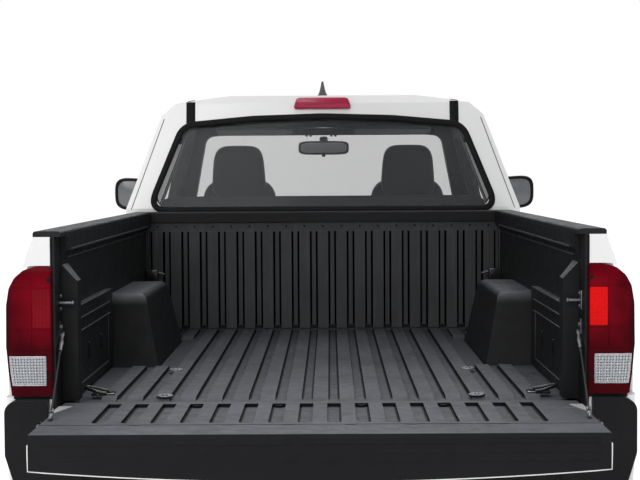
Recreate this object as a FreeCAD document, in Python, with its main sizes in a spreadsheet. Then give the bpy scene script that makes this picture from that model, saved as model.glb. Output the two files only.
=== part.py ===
"""Pickup truck with an extended cab and a composite load bed, tailgate open.

Millimetres. +Y is forward, +X is the truck's right, +Z is up. The origin is on the ground,
at the middle of the whole length from the open tailgate's edge to the front bumper.
"""
import FreeCAD, Part
import math
import os
import Sketcher

doc = FreeCAD.newDocument("PickupTruck")
sheet = doc.addObject("Spreadsheet::Sheet", "Sizes")

# Driving sizes, in millimetres, degrees where the name says so, and counts

SIZES = {
    # Whole truck
    "wheelbase": 3235, "front_overhang": 930, "floor_setback": 1090, "tailgate_reach": 526,
    "cut_overrun": 50, "seat_gap": 0.3, "door_gap": 8,
    # Wheels
    "tyre_radius": 387, "tyre_width": 245, "track_width": 1604, "rim_radius": 206, "rim_width": 190,
    "rim_wall": 12, "wheel_dish": 32, "disc_thick": 14, "hub_radius": 78,
    "spoke_count": 6, "tyre_shoulder": 34, "tyre_crown": 9,
    "rim_lip": 16, "bead_depth": 14, "spoke_hole_radius": 27, "spoke_circle": 262,
    # Cab section, seen from the front
    "sill_half": 800, "sill_height": 430, "rocker_half": 862, "rocker_height": 520,
    "waist_half": 885, "waist_height": 880, "belt_half": 834, "belt_height": 1293,
    "eaves_half": 688, "eaves_share": 0.788, "gutter_half": 627, "gutter_share": 0.892,
    "roof_height": 1793, "door_thick": 98, "pillar_thick": 52, "roof_thick": 40, "ledge_height": 1262,
    # Cab profile, seen from the side, set back from the front axle
    "cab_rear_setback": 2390, "rear_glass_lean": 84, "roof_rear_setback": 2290, "roof_rear_share": 0.958,
    "header_setback": 1230, "header_share": 0.822, "cowl_setback": 481, "cowl_height": 1128,
    "rear_wall_thick": 56, "windshield_thick": 58,
    # Doors
    "door_front_setback": 600, "seam_setback": 1610, "door_rear_setback": 2230, "frame_gap": 22,
    "door_bottom": 470, "door_top_share": 0.75, "pillar_width": 118, "window_inset": 62,
    "window_bottom": 1278,
    "glass_thick": 5, "glass_inset": 12, "leaf_inset": 22, "leaf_width": 22, "leaf_height": 80,
    "leaf_depth": 6, "leaf_low": 600, "leaf_high": 960,
    "taper_start": 35, "front_taper": 12, "access_taper": 22, "mirror_base_setback": 860,
    # Front end
    "hood_front_drop": 1046, "hood_nose_setback": 690, "nose_height": 905, "nose_setback": 868,
    "bumper_top": 700, "bumper_bottom": 372, "front_panel_thick": 62, "hood_half": 690,
    "chin_setback": 64, "chin_rise": 96, "intake_half": 330, "intake_low": 486, "intake_high": 566,
    "fender_crown_half": 800, "fender_crown_height": 1078, "hood_crown_height": 1152,
    "nose_half": 560, "corner_setback": 640, "hood_length": 1205, "hood_thick": 46,
    "grille_half": 420, "grille_bottom": 712, "grille_bar": 26, "grille_bar_count": 5,
    "lamp_bottom": 742, "lamp_top": 902, "lamp_depth": 190, "arch_radius": 468, "flare_width": 62,
    "flare_stand": 60, "flare_root": 73,
    "flare_bottom": 500, "liner_wall": 8, "liner_inner_half": 470,
    # Load bed
    "floor_top": 790, "rib_height": 11, "floor_thick": 20, "rib_pitch": 77, "rib_width": 44,
    "rib_ramp": 40, "rib_rear_gap": 44, "bed_half": 735, "liner_thick": 15, "bed_length": 1872,
    "rail_height": 1264, "rail_half": 798, "cap_height": 16, "bed_wall_thick": 43, "bulkhead_height": 1236,
    "bulkhead_rib_top": 1199, "bulkhead_rib_depth": 12, "well_rear": 764, "well_front": 1520,
    "well_height": 233, "well_lean": 88, "well_foot_half": 555, "well_top_half": 612, "well_wall": 12,
    "well_round": 60, "pillar_depth": 92, "bed_side_bottom": 500,
    "ledge_depth": 14, "ledge_top": 1222, "lower_ledge": 1050, "lower_ledge_depth": 22,
    # Tail lamps, rear bumper
    "lamp_inner_half": 752, "lamp_low": 814, "lamp_high": 1184, "lamp_wrap": 62, "lamp_round": 60,
    "bed_corner_round": 30,
    "bumper_rear_setback": 137, "bumper_corner_top": 811, "bumper_step_top": 672, "bumper_low": 470,
    "bumper_half": 875, "bumper_taper": 58, "bumper_taper_rise": 190, "bumper_corner_half": 757, "bumper_depth": 190, "bumper_wall": 34,
    # Tailgate
    "tailgate_half": 731, "tailgate_thick": 92, "tailgate_gap": 6, "tailgate_axis_drop": 32,
    "tailgate_skin": 34, "pocket_width": 38, "pocket_depth": 10, "pocket_start": 57, "pocket_length": 303,
    "pocket_count": 16, "gate_groove": 6, "gate_groove_setback": 388,
    "stay_radius": 4, "gate_pin_radius": 8, "stay_anchor_rise": 200, "stay_anchor_reach": 290, "stay_eye": 12,
    # Roof fittings
    "brake_lamp_width": 250, "brake_lamp_height": 51, "brake_lamp_depth": 16, "brake_lamp_share": 0.92,
    "fin_height": 62, "fin_length": 150, "fin_width": 46, "fin_tip": 13, "fin_setback": 2090,
    # Cabin
    "cab_floor_height": 520, "cab_floor_thick": 40, "seat_width": 500, "seat_offset": 395,
    "cushion_length": 500, "cushion_top": 800, "seat_setback": 1560,
    "backrest_thick": 130, "backrest_top": 1360, "headrest_width": 270, "headrest_height": 170,
    "headrest_thick": 100, "headrest_share": 0.558, "headrest_round": 45, "shoulder_width": 70,
    "shoulder_drop": 60, "bench_thick": 110, "bench_top": 760,
    "dash_height": 1090, "dash_thick": 260, "dash_bottom": 720, "steering_wheel_radius": 190,
    "steering_rim_radius": 15, "steering_wheel_setback": 985, "steering_wheel_height": 1075,
    "steering_lean_degrees": 25, "steering_hub_radius": 60, "steering_hub_thick": 44,
    "cabin_mirror_width": 260, "cabin_mirror_height": 68, "cabin_mirror_thick": 24,
    "cabin_mirror_setback": 1140, "cabin_mirror_share": 0.554, "mirror_stem_radius": 8,
    # Openings, screens and clearances
    "match_limit": 0.001, "screen_round": 55, "screen_bow": 46, "window_round": 40, "mirror_round": 34,
    "windshield_low_half": 742, "windshield_high_half": 598, "windshield_low": 1150,
    "windshield_share": 0.758,
    "rear_window_low_half": 734, "rear_window_high_half": 592, "rear_window_low": 1292,
    "rear_window_share": 0.8, "floor_overhang": 26, "gutter_thick": 22, "gutter_width": 60,
    "roof_fitting_sink": 30, "fin_roof_drop": 8,
    "hood_front_gap": 14, "bumper_wrap_setback": 500, "well_front_lean": 40, "post_half": 692,
    "post_depth": 58, "post_top": 1180, "post_slant": 46, "cheek_half": 738, "rib_front_gap": 16,
    "pocket_round_share": 0.42,
    "ball_hole_radius": 13, "plate_hole_radius": 3.5, "plate_hole_spacing": 178, "bench_half": 640,
    "dash_slope": 60, "frame_nose": 640, "frame_tail": 60, "kick_setback": 262, "sill_bar_half": 540,
    "arm_tip": 44, "spring_leg_length": 400, "exhaust_offset": 250,
    "tail_pipe_length": 430, "spare_setback": 720, "bumper_mount_drop": 20, "nose_mount_setback": 100,
    # Door mirrors
    "mirror_outer_half": 1102, "mirror_width": 197, "mirror_bottom": 1215, "mirror_top": 1420,
    "mirror_depth": 110, "mirror_arm_height": 50, "mirror_arm_depth": 60,
    # Chassis
    "rail_gauge": 800, "rail_width": 64, "rail_depth": 120, "cross_depth": 50,
    "cross_width": 100, "rail_kick": 120, "axle_radius": 42, "differential_radius": 130,
    "spring_gauge": 1000, "spring_width": 60, "spring_thick": 34, "spring_length": 1290,
    "damper_radius": 26, "arm_thick": 34, "kingpin_half": 706, "arm_span": 300, "engine_length": 640,
    "engine_width": 560, "engine_height": 560, "engine_bottom": 430, "engine_setback": 30,
    "gearbox_length": 720, "gearbox_radius": 75, "shaft_radius": 38, "pipe_radius": 28,
    "muffler_radius": 95, "muffler_length": 520, "tank_length": 900, "tank_setback": 1230,
    "tank_width": 300, "tank_height": 230,
    "spare_radius": 360, "spare_width": 215, "knuckle_thick": 44,
    "brake_disc_radius": 126, "brake_disc_thick": 26,
    "ball_joint_low": 257, "ball_joint_high": 517,
}


class Size(float):
    """A number that remembers its formula, so that an object can be bound to the sheet."""

    def __new__(cls, value, formula):
        size = float.__new__(cls, value)
        size.formula = formula
        return size

    def __add__(self, other):
        return Size(float(self) + float(other), f"({self.formula} + {written(other)})")

    def __radd__(self, other):
        return Size(float(other) + float(self), f"({written(other)} + {self.formula})")

    def __sub__(self, other):
        return Size(float(self) - float(other), f"({self.formula} - {written(other)})")

    def __rsub__(self, other):
        return Size(float(other) - float(self), f"({written(other)} - {self.formula})")

    def __mul__(self, other):
        return Size(float(self) * float(other), f"({self.formula} * {written(other)})")

    def __rmul__(self, other):
        return Size(float(other) * float(self), f"({written(other)} * {self.formula})")

    def __truediv__(self, other):
        return Size(float(self) / float(other), f"({self.formula} / {written(other)})")

    def __neg__(self):
        return Size(-float(self), f"(0 - {self.formula})")


def written(value):
    """The text of a value inside a formula."""
    if isinstance(value, Size):
        return value.formula
    return f"{float(value):.9f}"


class Sizes:
    """The sheet's cells, read back under their aliases."""

    def __init__(self, cells):
        for row, (alias, number) in enumerate(cells.items(), start=1):
            sheet.set(f"A{row}", alias)
            sheet.set(f"B{row}", str(number))
            sheet.setAlias(f"B{row}", alias)
        doc.recompute()
        for alias in cells:
            setattr(self, alias, Size(sheet.get(alias), f"Sizes.{alias}"))


s = Sizes(SIZES)
VECTOR = FreeCAD.Vector
X_AXIS = VECTOR(1, 0, 0)
Y_AXIS = VECTOR(0, 1, 0)
Z_AXIS = VECTOR(0, 0, 1)
HALF = 0.5

# Places that follow from the driving sizes

total_length = s.front_overhang + s.wheelbase + s.floor_setback + s.tailgate_reach
front_y = total_length * HALF
front_axle_y = front_y - s.front_overhang
rear_axle_y = front_axle_y - s.wheelbase
floor_edge_y = rear_axle_y - s.floor_setback
gate_end_y = floor_edge_y - s.tailgate_reach
wheel_half = s.track_width * HALF
glass_rise = s.roof_height - s.belt_height
eaves_height = s.belt_height + glass_rise * s.eaves_share
gutter_height = s.belt_height + glass_rise * s.gutter_share
roof_rear_height = s.belt_height + glass_rise * s.roof_rear_share
header_height = s.belt_height + glass_rise * s.header_share
door_top = s.belt_height + glass_rise * s.door_top_share
windshield_high = s.belt_height + glass_rise * s.windshield_share
rear_window_high = s.belt_height + glass_rise * s.rear_window_share
brake_lamp_centre = s.belt_height + glass_rise * s.brake_lamp_share
headrest_top = s.belt_height + glass_rise * s.headrest_share
cabin_mirror_centre = s.belt_height + glass_rise * s.cabin_mirror_share
cab_rear_y = front_axle_y - s.cab_rear_setback
cowl_y = front_axle_y - s.cowl_setback
header_y = front_axle_y - s.header_setback
seam_y = front_axle_y - s.seam_setback
door_front_y = front_axle_y - s.door_front_setback
door_rear_y = front_axle_y - s.door_rear_setback
bed_front_y = floor_edge_y + s.bed_length
rear_face_y = floor_edge_y - s.pillar_depth
bumper_rear_y = floor_edge_y - s.bumper_rear_setback
gate_axis_z = s.floor_top - s.tailgate_axis_drop
gate_axis_y = floor_edge_y - s.tailgate_axis_drop - s.tailgate_gap
slope = (s.cowl_height - header_height) / (cowl_y - header_y)
flare_half = s.waist_half + s.flare_stand
mirror_inner_half = s.mirror_outer_half - s.mirror_width

subparts = []


def keep(piece, label):
    """Name a finished sub-part and put it on the list that is written out."""
    piece.Label = label
    subparts.append(piece)
    return piece


def bind(piece, path, value):
    """Tie one property to the sheet, or set a plain zero."""
    if isinstance(value, Size):
        piece.setExpression(path, value.formula)


def place(piece, at, turn=None, degrees=0):
    """Put an object at a point, each coordinate tied to the sheet."""
    spin = FreeCAD.Rotation(turn, float(degrees)) if turn else FreeCAD.Rotation()
    piece.Placement = FreeCAD.Placement(VECTOR(*[float(value) for value in at]), spin)
    for axis, value in zip("xyz", at):
        bind(piece, f"Placement.Base.{axis}", value)
    return piece


def block(name, low, high):
    """A box between two corners."""
    box = doc.addObject("Part::Box", name)
    for side, start, end in zip(("Length", "Width", "Height"), low, high):
        bind(box, side, end - start)
    return place(box, low)


def rod(name, radius, length, at, along=Z_AXIS):
    """A cylinder from a point along an axis."""
    cylinder = doc.addObject("Part::Cylinder", name)
    bind(cylinder, "Radius", radius)
    bind(cylinder, "Height", length)
    turn = FreeCAD.Rotation(Z_AXIS, along)
    place(cylinder, at, turn.Axis, math.degrees(turn.Angle))
    return cylinder


PLANES = {"X": "YZ_Plane", "Y": "XZ_Plane", "Z": "XY_Plane"}


def outline_sketch(body, name, axis, points):
    """A closed outline of straight runs whose corners are tied to the sheet."""
    sketch = body.newObject("Sketcher::SketchObject", name)
    plane = next(item for item in body.Origin.OriginFeatures if item.Role == PLANES[axis])
    sketch.AttachmentSupport = [(plane, "")]
    sketch.MapMode = "FlatFace"
    count = len(points)
    for index, point in enumerate(points):
        following = points[(index + 1) % count]
        start = VECTOR(float(point[0]), float(point[1]), 0)
        end = VECTOR(float(following[0]), float(following[1]), 0)
        sketch.addGeometry(Part.LineSegment(start, end))
    for index in range(count):
        sketch.addConstraint(Sketcher.Constraint("Coincident", index, 2, (index + 1) % count, 1))
    for index, point in enumerate(points):
        for kind, value in zip(("DistanceX", "DistanceY"), point):
            rule = Sketcher.Constraint(kind, -1, 1, index, 1, float(value))
            number = sketch.addConstraint(rule)
            bind(sketch, f"Constraints[{number}]", value)
    return sketch


def prism(name, axis, points, start, end, rounded=(), radius=None):
    """A straight extrusion along X, Y or Z of an outline, with chosen corners rounded."""
    body = doc.addObject("PartDesign::Body", name)
    sketch = outline_sketch(body, f"{name}_outline", axis, points)
    pad = body.newObject("PartDesign::Pad", f"{name}_pad")
    pad.Profile = sketch
    length = end - start
    pad.Length = float(length)
    bind(pad, "Length", length)
    if rounded:
        doc.recompute()
        edges = corner_edges(pad.Shape, axis, [points[index] for index in rounded])
        fillet = body.newObject("PartDesign::Fillet", f"{name}_fillet")
        fillet.Base = (pad, edges)
        fillet.Radius = float(radius)
        bind(fillet, "Radius", radius)
    at = {"X": (start, 0, 0), "Y": (0, end, 0), "Z": (0, 0, start)}[axis]
    return place(body, at)


def corner_edges(shape, axis, corners):
    """The names of the long edges that run through the given corners of an outline."""
    first, second = {"X": ("y", "z"), "Y": ("x", "z"), "Z": ("x", "y")}[axis]
    names = []
    for index, edge in enumerate(shape.Edges, start=1):
        low = edge.Vertexes[0].Point
        high = edge.Vertexes[-1].Point
        if abs(getattr(high - low, axis.lower())) < s.match_limit:
            continue
        for corner in corners:
            offsets = [math.hypot(getattr(end, first) - corner[0], getattr(end, second) - corner[1])
                       for end in (low, high)]
            if max(offsets) < s.match_limit:
                names.append(f"Edge{index}")
                break
    return names


def cut(name, base, *tools):
    """One object less some others."""
    tool = tools[0] if len(tools) == 1 else fuse(f"{name}_tools", *tools)
    result = doc.addObject("Part::Cut", name)
    result.Base = base
    result.Tool = tool
    return result


def fuse(name, *pieces):
    """Some objects as one."""
    if len(pieces) == 1:
        return pieces[0]
    result = doc.addObject("Part::MultiFuse", name)
    result.Shapes = list(pieces)
    result.Refine = True
    return result


def common(name, first, second):
    """What two objects share."""
    result = doc.addObject("Part::Common", name)
    result.Base = first
    result.Tool = second
    return result


def mirrored(name, piece):
    """The same piece on the other side of the truck."""
    result = doc.addObject("Part::Mirroring", name)
    result.Source = piece
    result.Normal = X_AXIS
    return result


def group(name, *pieces):
    """Like pieces kept together as separate solids."""
    result = doc.addObject("Part::Compound", name)
    result.Links = list(pieces)
    return result


def pair(name, piece):
    """A piece and its mirror image in one sub-part."""
    return keep(group(f"{name}_pair", piece, mirrored(f"{name}_mirror", piece)), name)


def shaped(name, shape):
    """An object whose curved form is made with the kernel's own functions."""
    feature = doc.addObject("Part::Feature", name)
    feature.Shape = shape
    return feature


def turned(name, points, at):
    """A ring turned about the X axis, its outline given as place along X and radius."""
    body = doc.addObject("PartDesign::Body", name)
    sketch = outline_sketch(body, f"{name}_outline", "Y", points)
    turn = body.newObject("PartDesign::Revolution", f"{name}_turn")
    turn.Profile = sketch
    turn.ReferenceAxis = (sketch, ["H_Axis"])
    return place(body, at)


# Curved skins of the cab and of the front end


def wire_shape(parts):
    """A closed face from straight runs and arcs through three points."""
    edges = []
    for points in parts:
        ends = [VECTOR(*[float(value) for value in point]) for point in points]
        if len(ends) == 3:
            edges.append(Part.Arc(*ends).toShape())
        else:
            edges.append(Part.LineSegment(*ends).toShape())
    return Part.Face(Part.Wire(edges))


def section_face(right_side, top):
    """A face seen from the front, from its right side's runs and its top run."""
    runs = list(right_side)
    runs.append(top)
    for points in reversed(right_side):
        runs.append([(-x, z) for x, z in reversed(points)])
    low = right_side[0][0]
    runs.append([(-low[0], low[1]), (low[0], low[1])])
    return wire_shape([[(x, 0, z) for x, z in points] for points in runs])


def across(points):
    """A face seen from the side, from points along Y and Z."""
    count = len(points)
    runs = [[points[index], points[(index + 1) % count]] for index in range(count)]
    return wire_shape([[(0, y, z) for y, z in run] for run in runs])


def along_y(face, start, end):
    moved = face.translated(VECTOR(0, float(start), 0))
    return moved.extrude(VECTOR(0, float(end - start), 0))


def along_x(face, half):
    moved = face.translated(VECTOR(-float(half), 0, 0))
    return moved.extrude(VECTOR(float(half) * 2, 0, 0))


def along_z(face, start, end):
    moved = face.translated(VECTOR(0, 0, float(start)))
    return moved.extrude(VECTOR(0, 0, float(end - start)))


def cab_section(side, glasshouse, top):
    """The cab's face from the front, moved inwards by three thicknesses."""
    belt = s.belt_half - glasshouse
    eaves_z = eaves_height - glasshouse * HALF
    gutter_z = gutter_height - top
    right = [
        [(s.sill_half - side, s.sill_height), (s.rocker_half - side, s.rocker_height)],
        [(s.rocker_half - side, s.rocker_height), (s.waist_half - side, s.waist_height),
         (s.belt_half - side, s.ledge_height)],
        [(s.belt_half - side, s.ledge_height), (belt, s.belt_height)],
        [(belt, s.belt_height), (s.eaves_half - glasshouse, eaves_z)],
        [(s.eaves_half - glasshouse, eaves_z), (s.gutter_half - glasshouse, gutter_z)],
    ]
    crest_half = s.gutter_half - glasshouse
    crest = [(crest_half, gutter_z), (0, s.roof_height - top), (-crest_half, gutter_z)]
    return section_face(right, crest)


def cab_profile(rear, front, top):
    """The cab's face from the side, moved inwards at the rear, the windshield and the roof."""
    glass_y = cab_rear_y + s.rear_glass_lean
    roof_y = front_axle_y - s.roof_rear_setback
    return across([
        (cab_rear_y + rear, s.sill_height), (cowl_y - front, s.sill_height),
        (cowl_y - front, s.cowl_height), (header_y - front, header_height - top * HALF),
        ((header_y + roof_y) * HALF, s.roof_height - top), (roof_y + rear, roof_rear_height - top),
        (glass_y + rear, gutter_height - top), (cab_rear_y + rear, s.belt_height),
    ])


def cab_solid(side, glasshouse, top, rear, front):
    section = along_y(cab_section(side, glasshouse, top), cab_rear_y - s.cut_overrun, front_y)
    return section.common(along_x(cab_profile(rear, front, top), flare_half))


def nose_solid(inset):
    """The front end from hood to bumper, moved inwards by one thickness."""
    right = [
        [(s.sill_half - inset, s.bumper_bottom), (s.rocker_half - inset, s.rocker_height)],
        [(s.rocker_half - inset, s.rocker_height), (s.waist_half - inset, s.waist_height),
         (s.fender_crown_half - inset, s.fender_crown_height - inset)],
    ]
    crown_z = s.fender_crown_height - inset
    crest = [(s.fender_crown_half - inset, crown_z), (0, s.hood_crown_height - inset),
             (inset - s.fender_crown_half, crown_z)]
    section = along_y(section_face(right, crest), door_front_y, front_y + s.cut_overrun)
    hood_nose_y = front_axle_y + s.hood_nose_setback
    nose_y = front_axle_y + s.nose_setback
    profile = along_x(across([
        (door_front_y, s.bumper_bottom), (front_y - s.chin_setback - inset, s.bumper_bottom),
        (front_y - inset, s.bumper_bottom + s.chin_rise), (front_y - inset, s.bumper_top),
        (nose_y - inset, s.nose_height - inset),
        (hood_nose_y, s.hood_front_drop - inset), (cowl_y, s.hood_crown_height - inset),
        (door_front_y, s.hood_crown_height - inset),
    ]), flare_half)
    corner_y = front_axle_y + s.corner_setback
    side = s.waist_half - inset
    plan = wire_shape([[(x, y, 0) for x, y in points] for points in [
        [(side, door_front_y), (side, corner_y)],
        [(side, corner_y), (s.nose_half, nose_y - inset)],
        [(s.nose_half, nose_y - inset), (0, front_y - inset), (-s.nose_half, nose_y - inset)],
        [(-s.nose_half, nose_y - inset), (-side, corner_y)],
        [(-side, corner_y), (-side, door_front_y)],
        [(-side, door_front_y), (side, door_front_y)],
    ]])
    return section.common(profile).common(along_z(plan, 0, s.roof_height))


def front_arch(half_start, radius, name):
    """The space of a front wheel, on the right side."""
    return rod(name, radius, flare_half, (half_start, front_axle_y, s.tyre_radius), X_AXIS)


def windshield_y(height, setback):
    """Where the windshield's line, moved back, passes a height."""
    return cowl_y - setback + (height - s.cowl_height) / slope


# Cab

ledge_z = s.belt_height
frame_seam_y = seam_y + s.frame_gap * HALF
door_knee_z = s.cowl_height + slope * (door_front_y + s.pillar_width - cowl_y)


def front_door_outline(margin):
    """The front door's edge, seen from the side, moved outwards by a margin."""
    low = s.door_bottom - margin
    high = door_top + margin
    return [
        (seam_y + s.door_gap * HALF - margin, low), (door_front_y + margin, low),
        (door_front_y + margin, door_knee_z + margin), (windshield_y(high, s.pillar_width) + margin, high),
        (frame_seam_y - margin * 2, high), (frame_seam_y - margin * 2, ledge_z),
        (seam_y + s.door_gap * HALF - margin, ledge_z),
    ]


def access_door_outline(margin):
    """The access door's edge, seen from the side, moved outwards by a margin."""
    low = s.door_bottom - margin
    high = door_top + margin
    seam_front = seam_y - s.door_gap * HALF + margin
    frame_front = seam_y - s.frame_gap * HALF + margin * 2
    return [
        (door_rear_y - margin, low), (seam_front, low), (seam_front, ledge_z),
        (frame_front, ledge_z), (frame_front, high), (door_rear_y - margin, high),
    ]


def front_window_outline(margin):
    """The front door's window, seen from the side."""
    inset = s.window_inset - margin
    low = s.window_bottom - margin
    high = door_top - inset
    return [
        (frame_seam_y + inset, low), (windshield_y(low, s.pillar_width) - inset, low),
        (windshield_y(high, s.pillar_width) - inset, high), (frame_seam_y + inset, high),
    ]


def access_window_outline(margin):
    """The access door's window, seen from the side."""
    inset = s.window_inset - margin
    frame_front = seam_y - s.frame_gap * HALF
    return [
        (door_rear_y + inset, s.window_bottom - margin), (frame_front - inset, s.window_bottom - margin),
        (frame_front - inset, door_top - inset), (door_rear_y + inset, door_top - inset),
    ]


def side_prism(name, points, rounded=(), radius=None):
    """A prism that passes through the right side of the cab."""
    return prism(name, "X", points, s.eaves_half * HALF, s.mirror_outer_half, rounded, radius)


def skin(name, inner, outer=0):
    """The cab's skin between two even depths."""
    outer_solid = cab_solid(outer, outer, outer, outer, outer)
    return shaped(name, outer_solid.cut(cab_solid(inner, inner, inner, inner, inner)))


cab_wall = shaped("cab_wall", cab_solid(0, 0, 0, 0, 0).cut(
    cab_solid(s.door_thick, s.pillar_thick, s.roof_thick, s.rear_wall_thick, s.windshield_thick)))
glass_skin = skin("glass_skin", s.glass_inset + s.glass_thick, s.glass_inset)
nose_wall = shaped("nose_wall", nose_solid(0).cut(nose_solid(s.front_panel_thick)))
hood_skin = shaped("hood_skin", nose_solid(0).cut(nose_solid(s.hood_thick)))

# Window openings in the windshield and the rear wall


bow_shares = (1, 0.5, 0, -0.5, -1)
screen_corners = (0, 1, 2, len(bow_shares) + 1)


def screen_outline(low_half, high_half, low, high, margin):
    """A screen's outline seen from the front, its top edge bowed."""
    bottom = [(-(low_half - margin), low + margin), (low_half - margin, low + margin)]
    top = [((high_half - margin) * share, high - margin - s.screen_bow * (share * share))
           for share in bow_shares]
    return bottom + top


def screen_prisms(name, low_half, high_half, low, high, start, end):
    """The opening for a screen and the glass's own outline within it."""
    opening = prism(f"{name}_opening", "Y", screen_outline(low_half, high_half, low, high, 0),
                    start, end, screen_corners, s.screen_round)
    pane = prism(f"{name}_pane", "Y", screen_outline(low_half, high_half, low, high, s.seat_gap),
                 start, end, screen_corners, s.screen_round)
    return opening, pane


middle_y = (cab_rear_y + cowl_y) * HALF
windshield_opening, windshield_pane = screen_prisms(
    "windshield", s.windshield_low_half, s.windshield_high_half, s.windshield_low, windshield_high,
    middle_y, front_y)
rear_opening, rear_pane = screen_prisms(
    "rear_window", s.rear_window_low_half, s.rear_window_high_half, s.rear_window_low, rear_window_high,
    cab_rear_y - s.cut_overrun, middle_y)

# Doors, their glasses and mirrors

DOORS = {
    "front_door": (front_door_outline, front_window_outline),
    "access_door": (access_door_outline, access_window_outline),
}
TAPERS = {
    "front_door": (s.door_gap * HALF, s.front_taper),
    "access_door": (-s.door_gap * HALF, -s.access_taper),
}
taper_x = s.waist_half - s.taper_start
door_openings = []
for door_name, (door_outline, window_outline) in DOORS.items():
    panel = side_prism(f"{door_name}_panel", door_outline(0))
    window = side_prism(f"{door_name}_window", window_outline(0), (0, 1, 2, 3), s.window_round)
    pane = side_prism(f"{door_name}_pane", window_outline(-s.seat_gap), (0, 1, 2, 3), s.window_round)
    edge, taper = TAPERS[door_name]
    corners = [(taper_x, seam_y + edge), (taper_x - s.door_thick * 2, seam_y + edge + taper * 2),
               (taper_x - s.door_thick * 2, seam_y)]
    wedge = prism(f"{door_name}_wedge", "Z", corners, 0, s.belt_height)
    right = cut(f"{door_name}_right_form", common(f"{door_name}_blank", cab_wall, panel), window, wedge)
    glass = common(f"{door_name}_glass_form", glass_skin, pane)
    keep(right, f"{door_name}_right")
    keep(mirrored(f"{door_name}_left_form", right), f"{door_name}_left")
    keep(glass, f"{door_name}_glass_right")
    keep(mirrored(f"{door_name}_glass_left_form", glass), f"{door_name}_glass_left")
    door_openings.append(side_prism(f"{door_name}_opening", door_outline(s.door_gap)))

mirror_y = front_axle_y - s.mirror_base_setback
mirror_front = prism("mirror_front", "Y", [
    (mirror_inner_half, s.mirror_bottom), (s.mirror_outer_half, s.mirror_bottom + s.mirror_round * HALF),
    (s.mirror_outer_half, s.mirror_top), (mirror_inner_half, s.mirror_top),
], mirror_y - s.mirror_depth, mirror_y, (0, 1, 2, 3), s.mirror_round)
mirror_plan = prism("mirror_plan", "Z", [
    (mirror_inner_half, mirror_y - s.mirror_depth), (s.mirror_outer_half, mirror_y - s.mirror_depth),
    (s.mirror_outer_half, mirror_y), (mirror_inner_half, mirror_y),
], s.mirror_bottom, s.mirror_top, (2, 3), s.mirror_round * 2)
mirror_head = common("mirror_head", mirror_front, mirror_plan)
mirror_arm = block("mirror_arm", (s.eaves_half, mirror_y - s.mirror_arm_depth - s.mirror_arm_height * HALF,
                                  s.mirror_bottom + s.mirror_arm_height * HALF),
                   (mirror_inner_half + s.mirror_arm_height * HALF, mirror_y - s.mirror_arm_height * HALF,
                    s.mirror_bottom + s.mirror_arm_height * HALF + s.mirror_arm_height))
cab_filled = shaped("cab_filled", cab_solid(0, 0, 0, 0, 0))
mirror_right = cut("door_mirror_right_form", fuse("mirror_body", mirror_head, mirror_arm), cab_filled)
keep(mirror_right, "door_mirror_right")
keep(mirrored("door_mirror_left_form", mirror_right), "door_mirror_left")

# Front fenders, hood, grille, headlamps and front bumper

hood_front_y = cowl_y + s.hood_length
arch = front_arch(s.liner_inner_half, s.arch_radius, "front_arch")
hood_field = block("hood_field", (-s.hood_half, cowl_y + s.door_gap, s.nose_height),
                   (s.hood_half, hood_front_y, s.roof_height))
hood = keep(common("hood_form", hood_skin, hood_field), "hood")
hood_opening = block("hood_opening", (-s.hood_half - s.door_gap, door_front_y, s.nose_height),
                     (s.hood_half + s.door_gap, hood_front_y + s.hood_front_gap, s.roof_height))
lamp_field = block("lamp_field", (s.grille_half + s.seat_gap, front_axle_y + s.nose_setback - s.lamp_depth,
                                  s.lamp_bottom), (flare_half, front_y, s.lamp_top))
grille_field = block("grille_field", (-s.grille_half, front_axle_y + s.corner_setback, s.grille_bottom),
                     (s.grille_half, front_y, s.lamp_top))
bumper_field = block("bumper_field", (-flare_half, front_axle_y + s.bumper_wrap_setback,
                                      s.bumper_bottom), (flare_half, front_y, s.bumper_top))
headlamp = common("headlamp_form", nose_wall, lamp_field)
pair("headlamps", headlamp)
slots = []
slot_pitch = (s.lamp_top - s.grille_bottom - s.grille_bar) / s.grille_bar_count
for index in range(int(s.grille_bar_count)):
    slot_low = s.grille_bottom + s.grille_bar + slot_pitch * index
    slots.append(block(f"grille_slot_{index}", (-s.grille_half + s.grille_bar, front_axle_y, slot_low),
                       (s.grille_half - s.grille_bar, front_y, slot_low + slot_pitch - s.grille_bar)))
grille_wall = common("grille_wall", nose_wall, grille_field)
keep(cut("grille_form", grille_wall, *slots), "grille")
bumper_wall = common("bumper_wall", nose_wall, bumper_field)
arch_left = mirrored("front_arch_left", arch)
intake = block("bumper_intake", (-s.intake_half, front_axle_y, s.intake_low),
               (s.intake_half, front_y, s.intake_high))
keep(cut("front_bumper_form", bumper_wall, arch, arch_left, intake), "front_bumper")
fender_field = block("fender_field", (0, door_front_y + s.door_gap, s.door_bottom),
                     (flare_half, front_y, s.roof_height))
fender_wall = common("fender_wall", nose_wall, fender_field)
lamp_room = block("lamp_room", (0, front_axle_y + s.nose_setback - s.lamp_depth, s.lamp_bottom - s.seat_gap),
                  (flare_half, front_y, s.lamp_top + s.seat_gap))
nose_room = block("nose_room", (0, front_axle_y + s.corner_setback, 0),
                  (s.grille_half + s.seat_gap, front_y, s.lamp_top + s.seat_gap))
bumper_room = block("bumper_room", (0, front_axle_y + s.bumper_wrap_setback - s.seat_gap, 0),
                    (flare_half, front_y, s.bumper_top + s.seat_gap))


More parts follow.
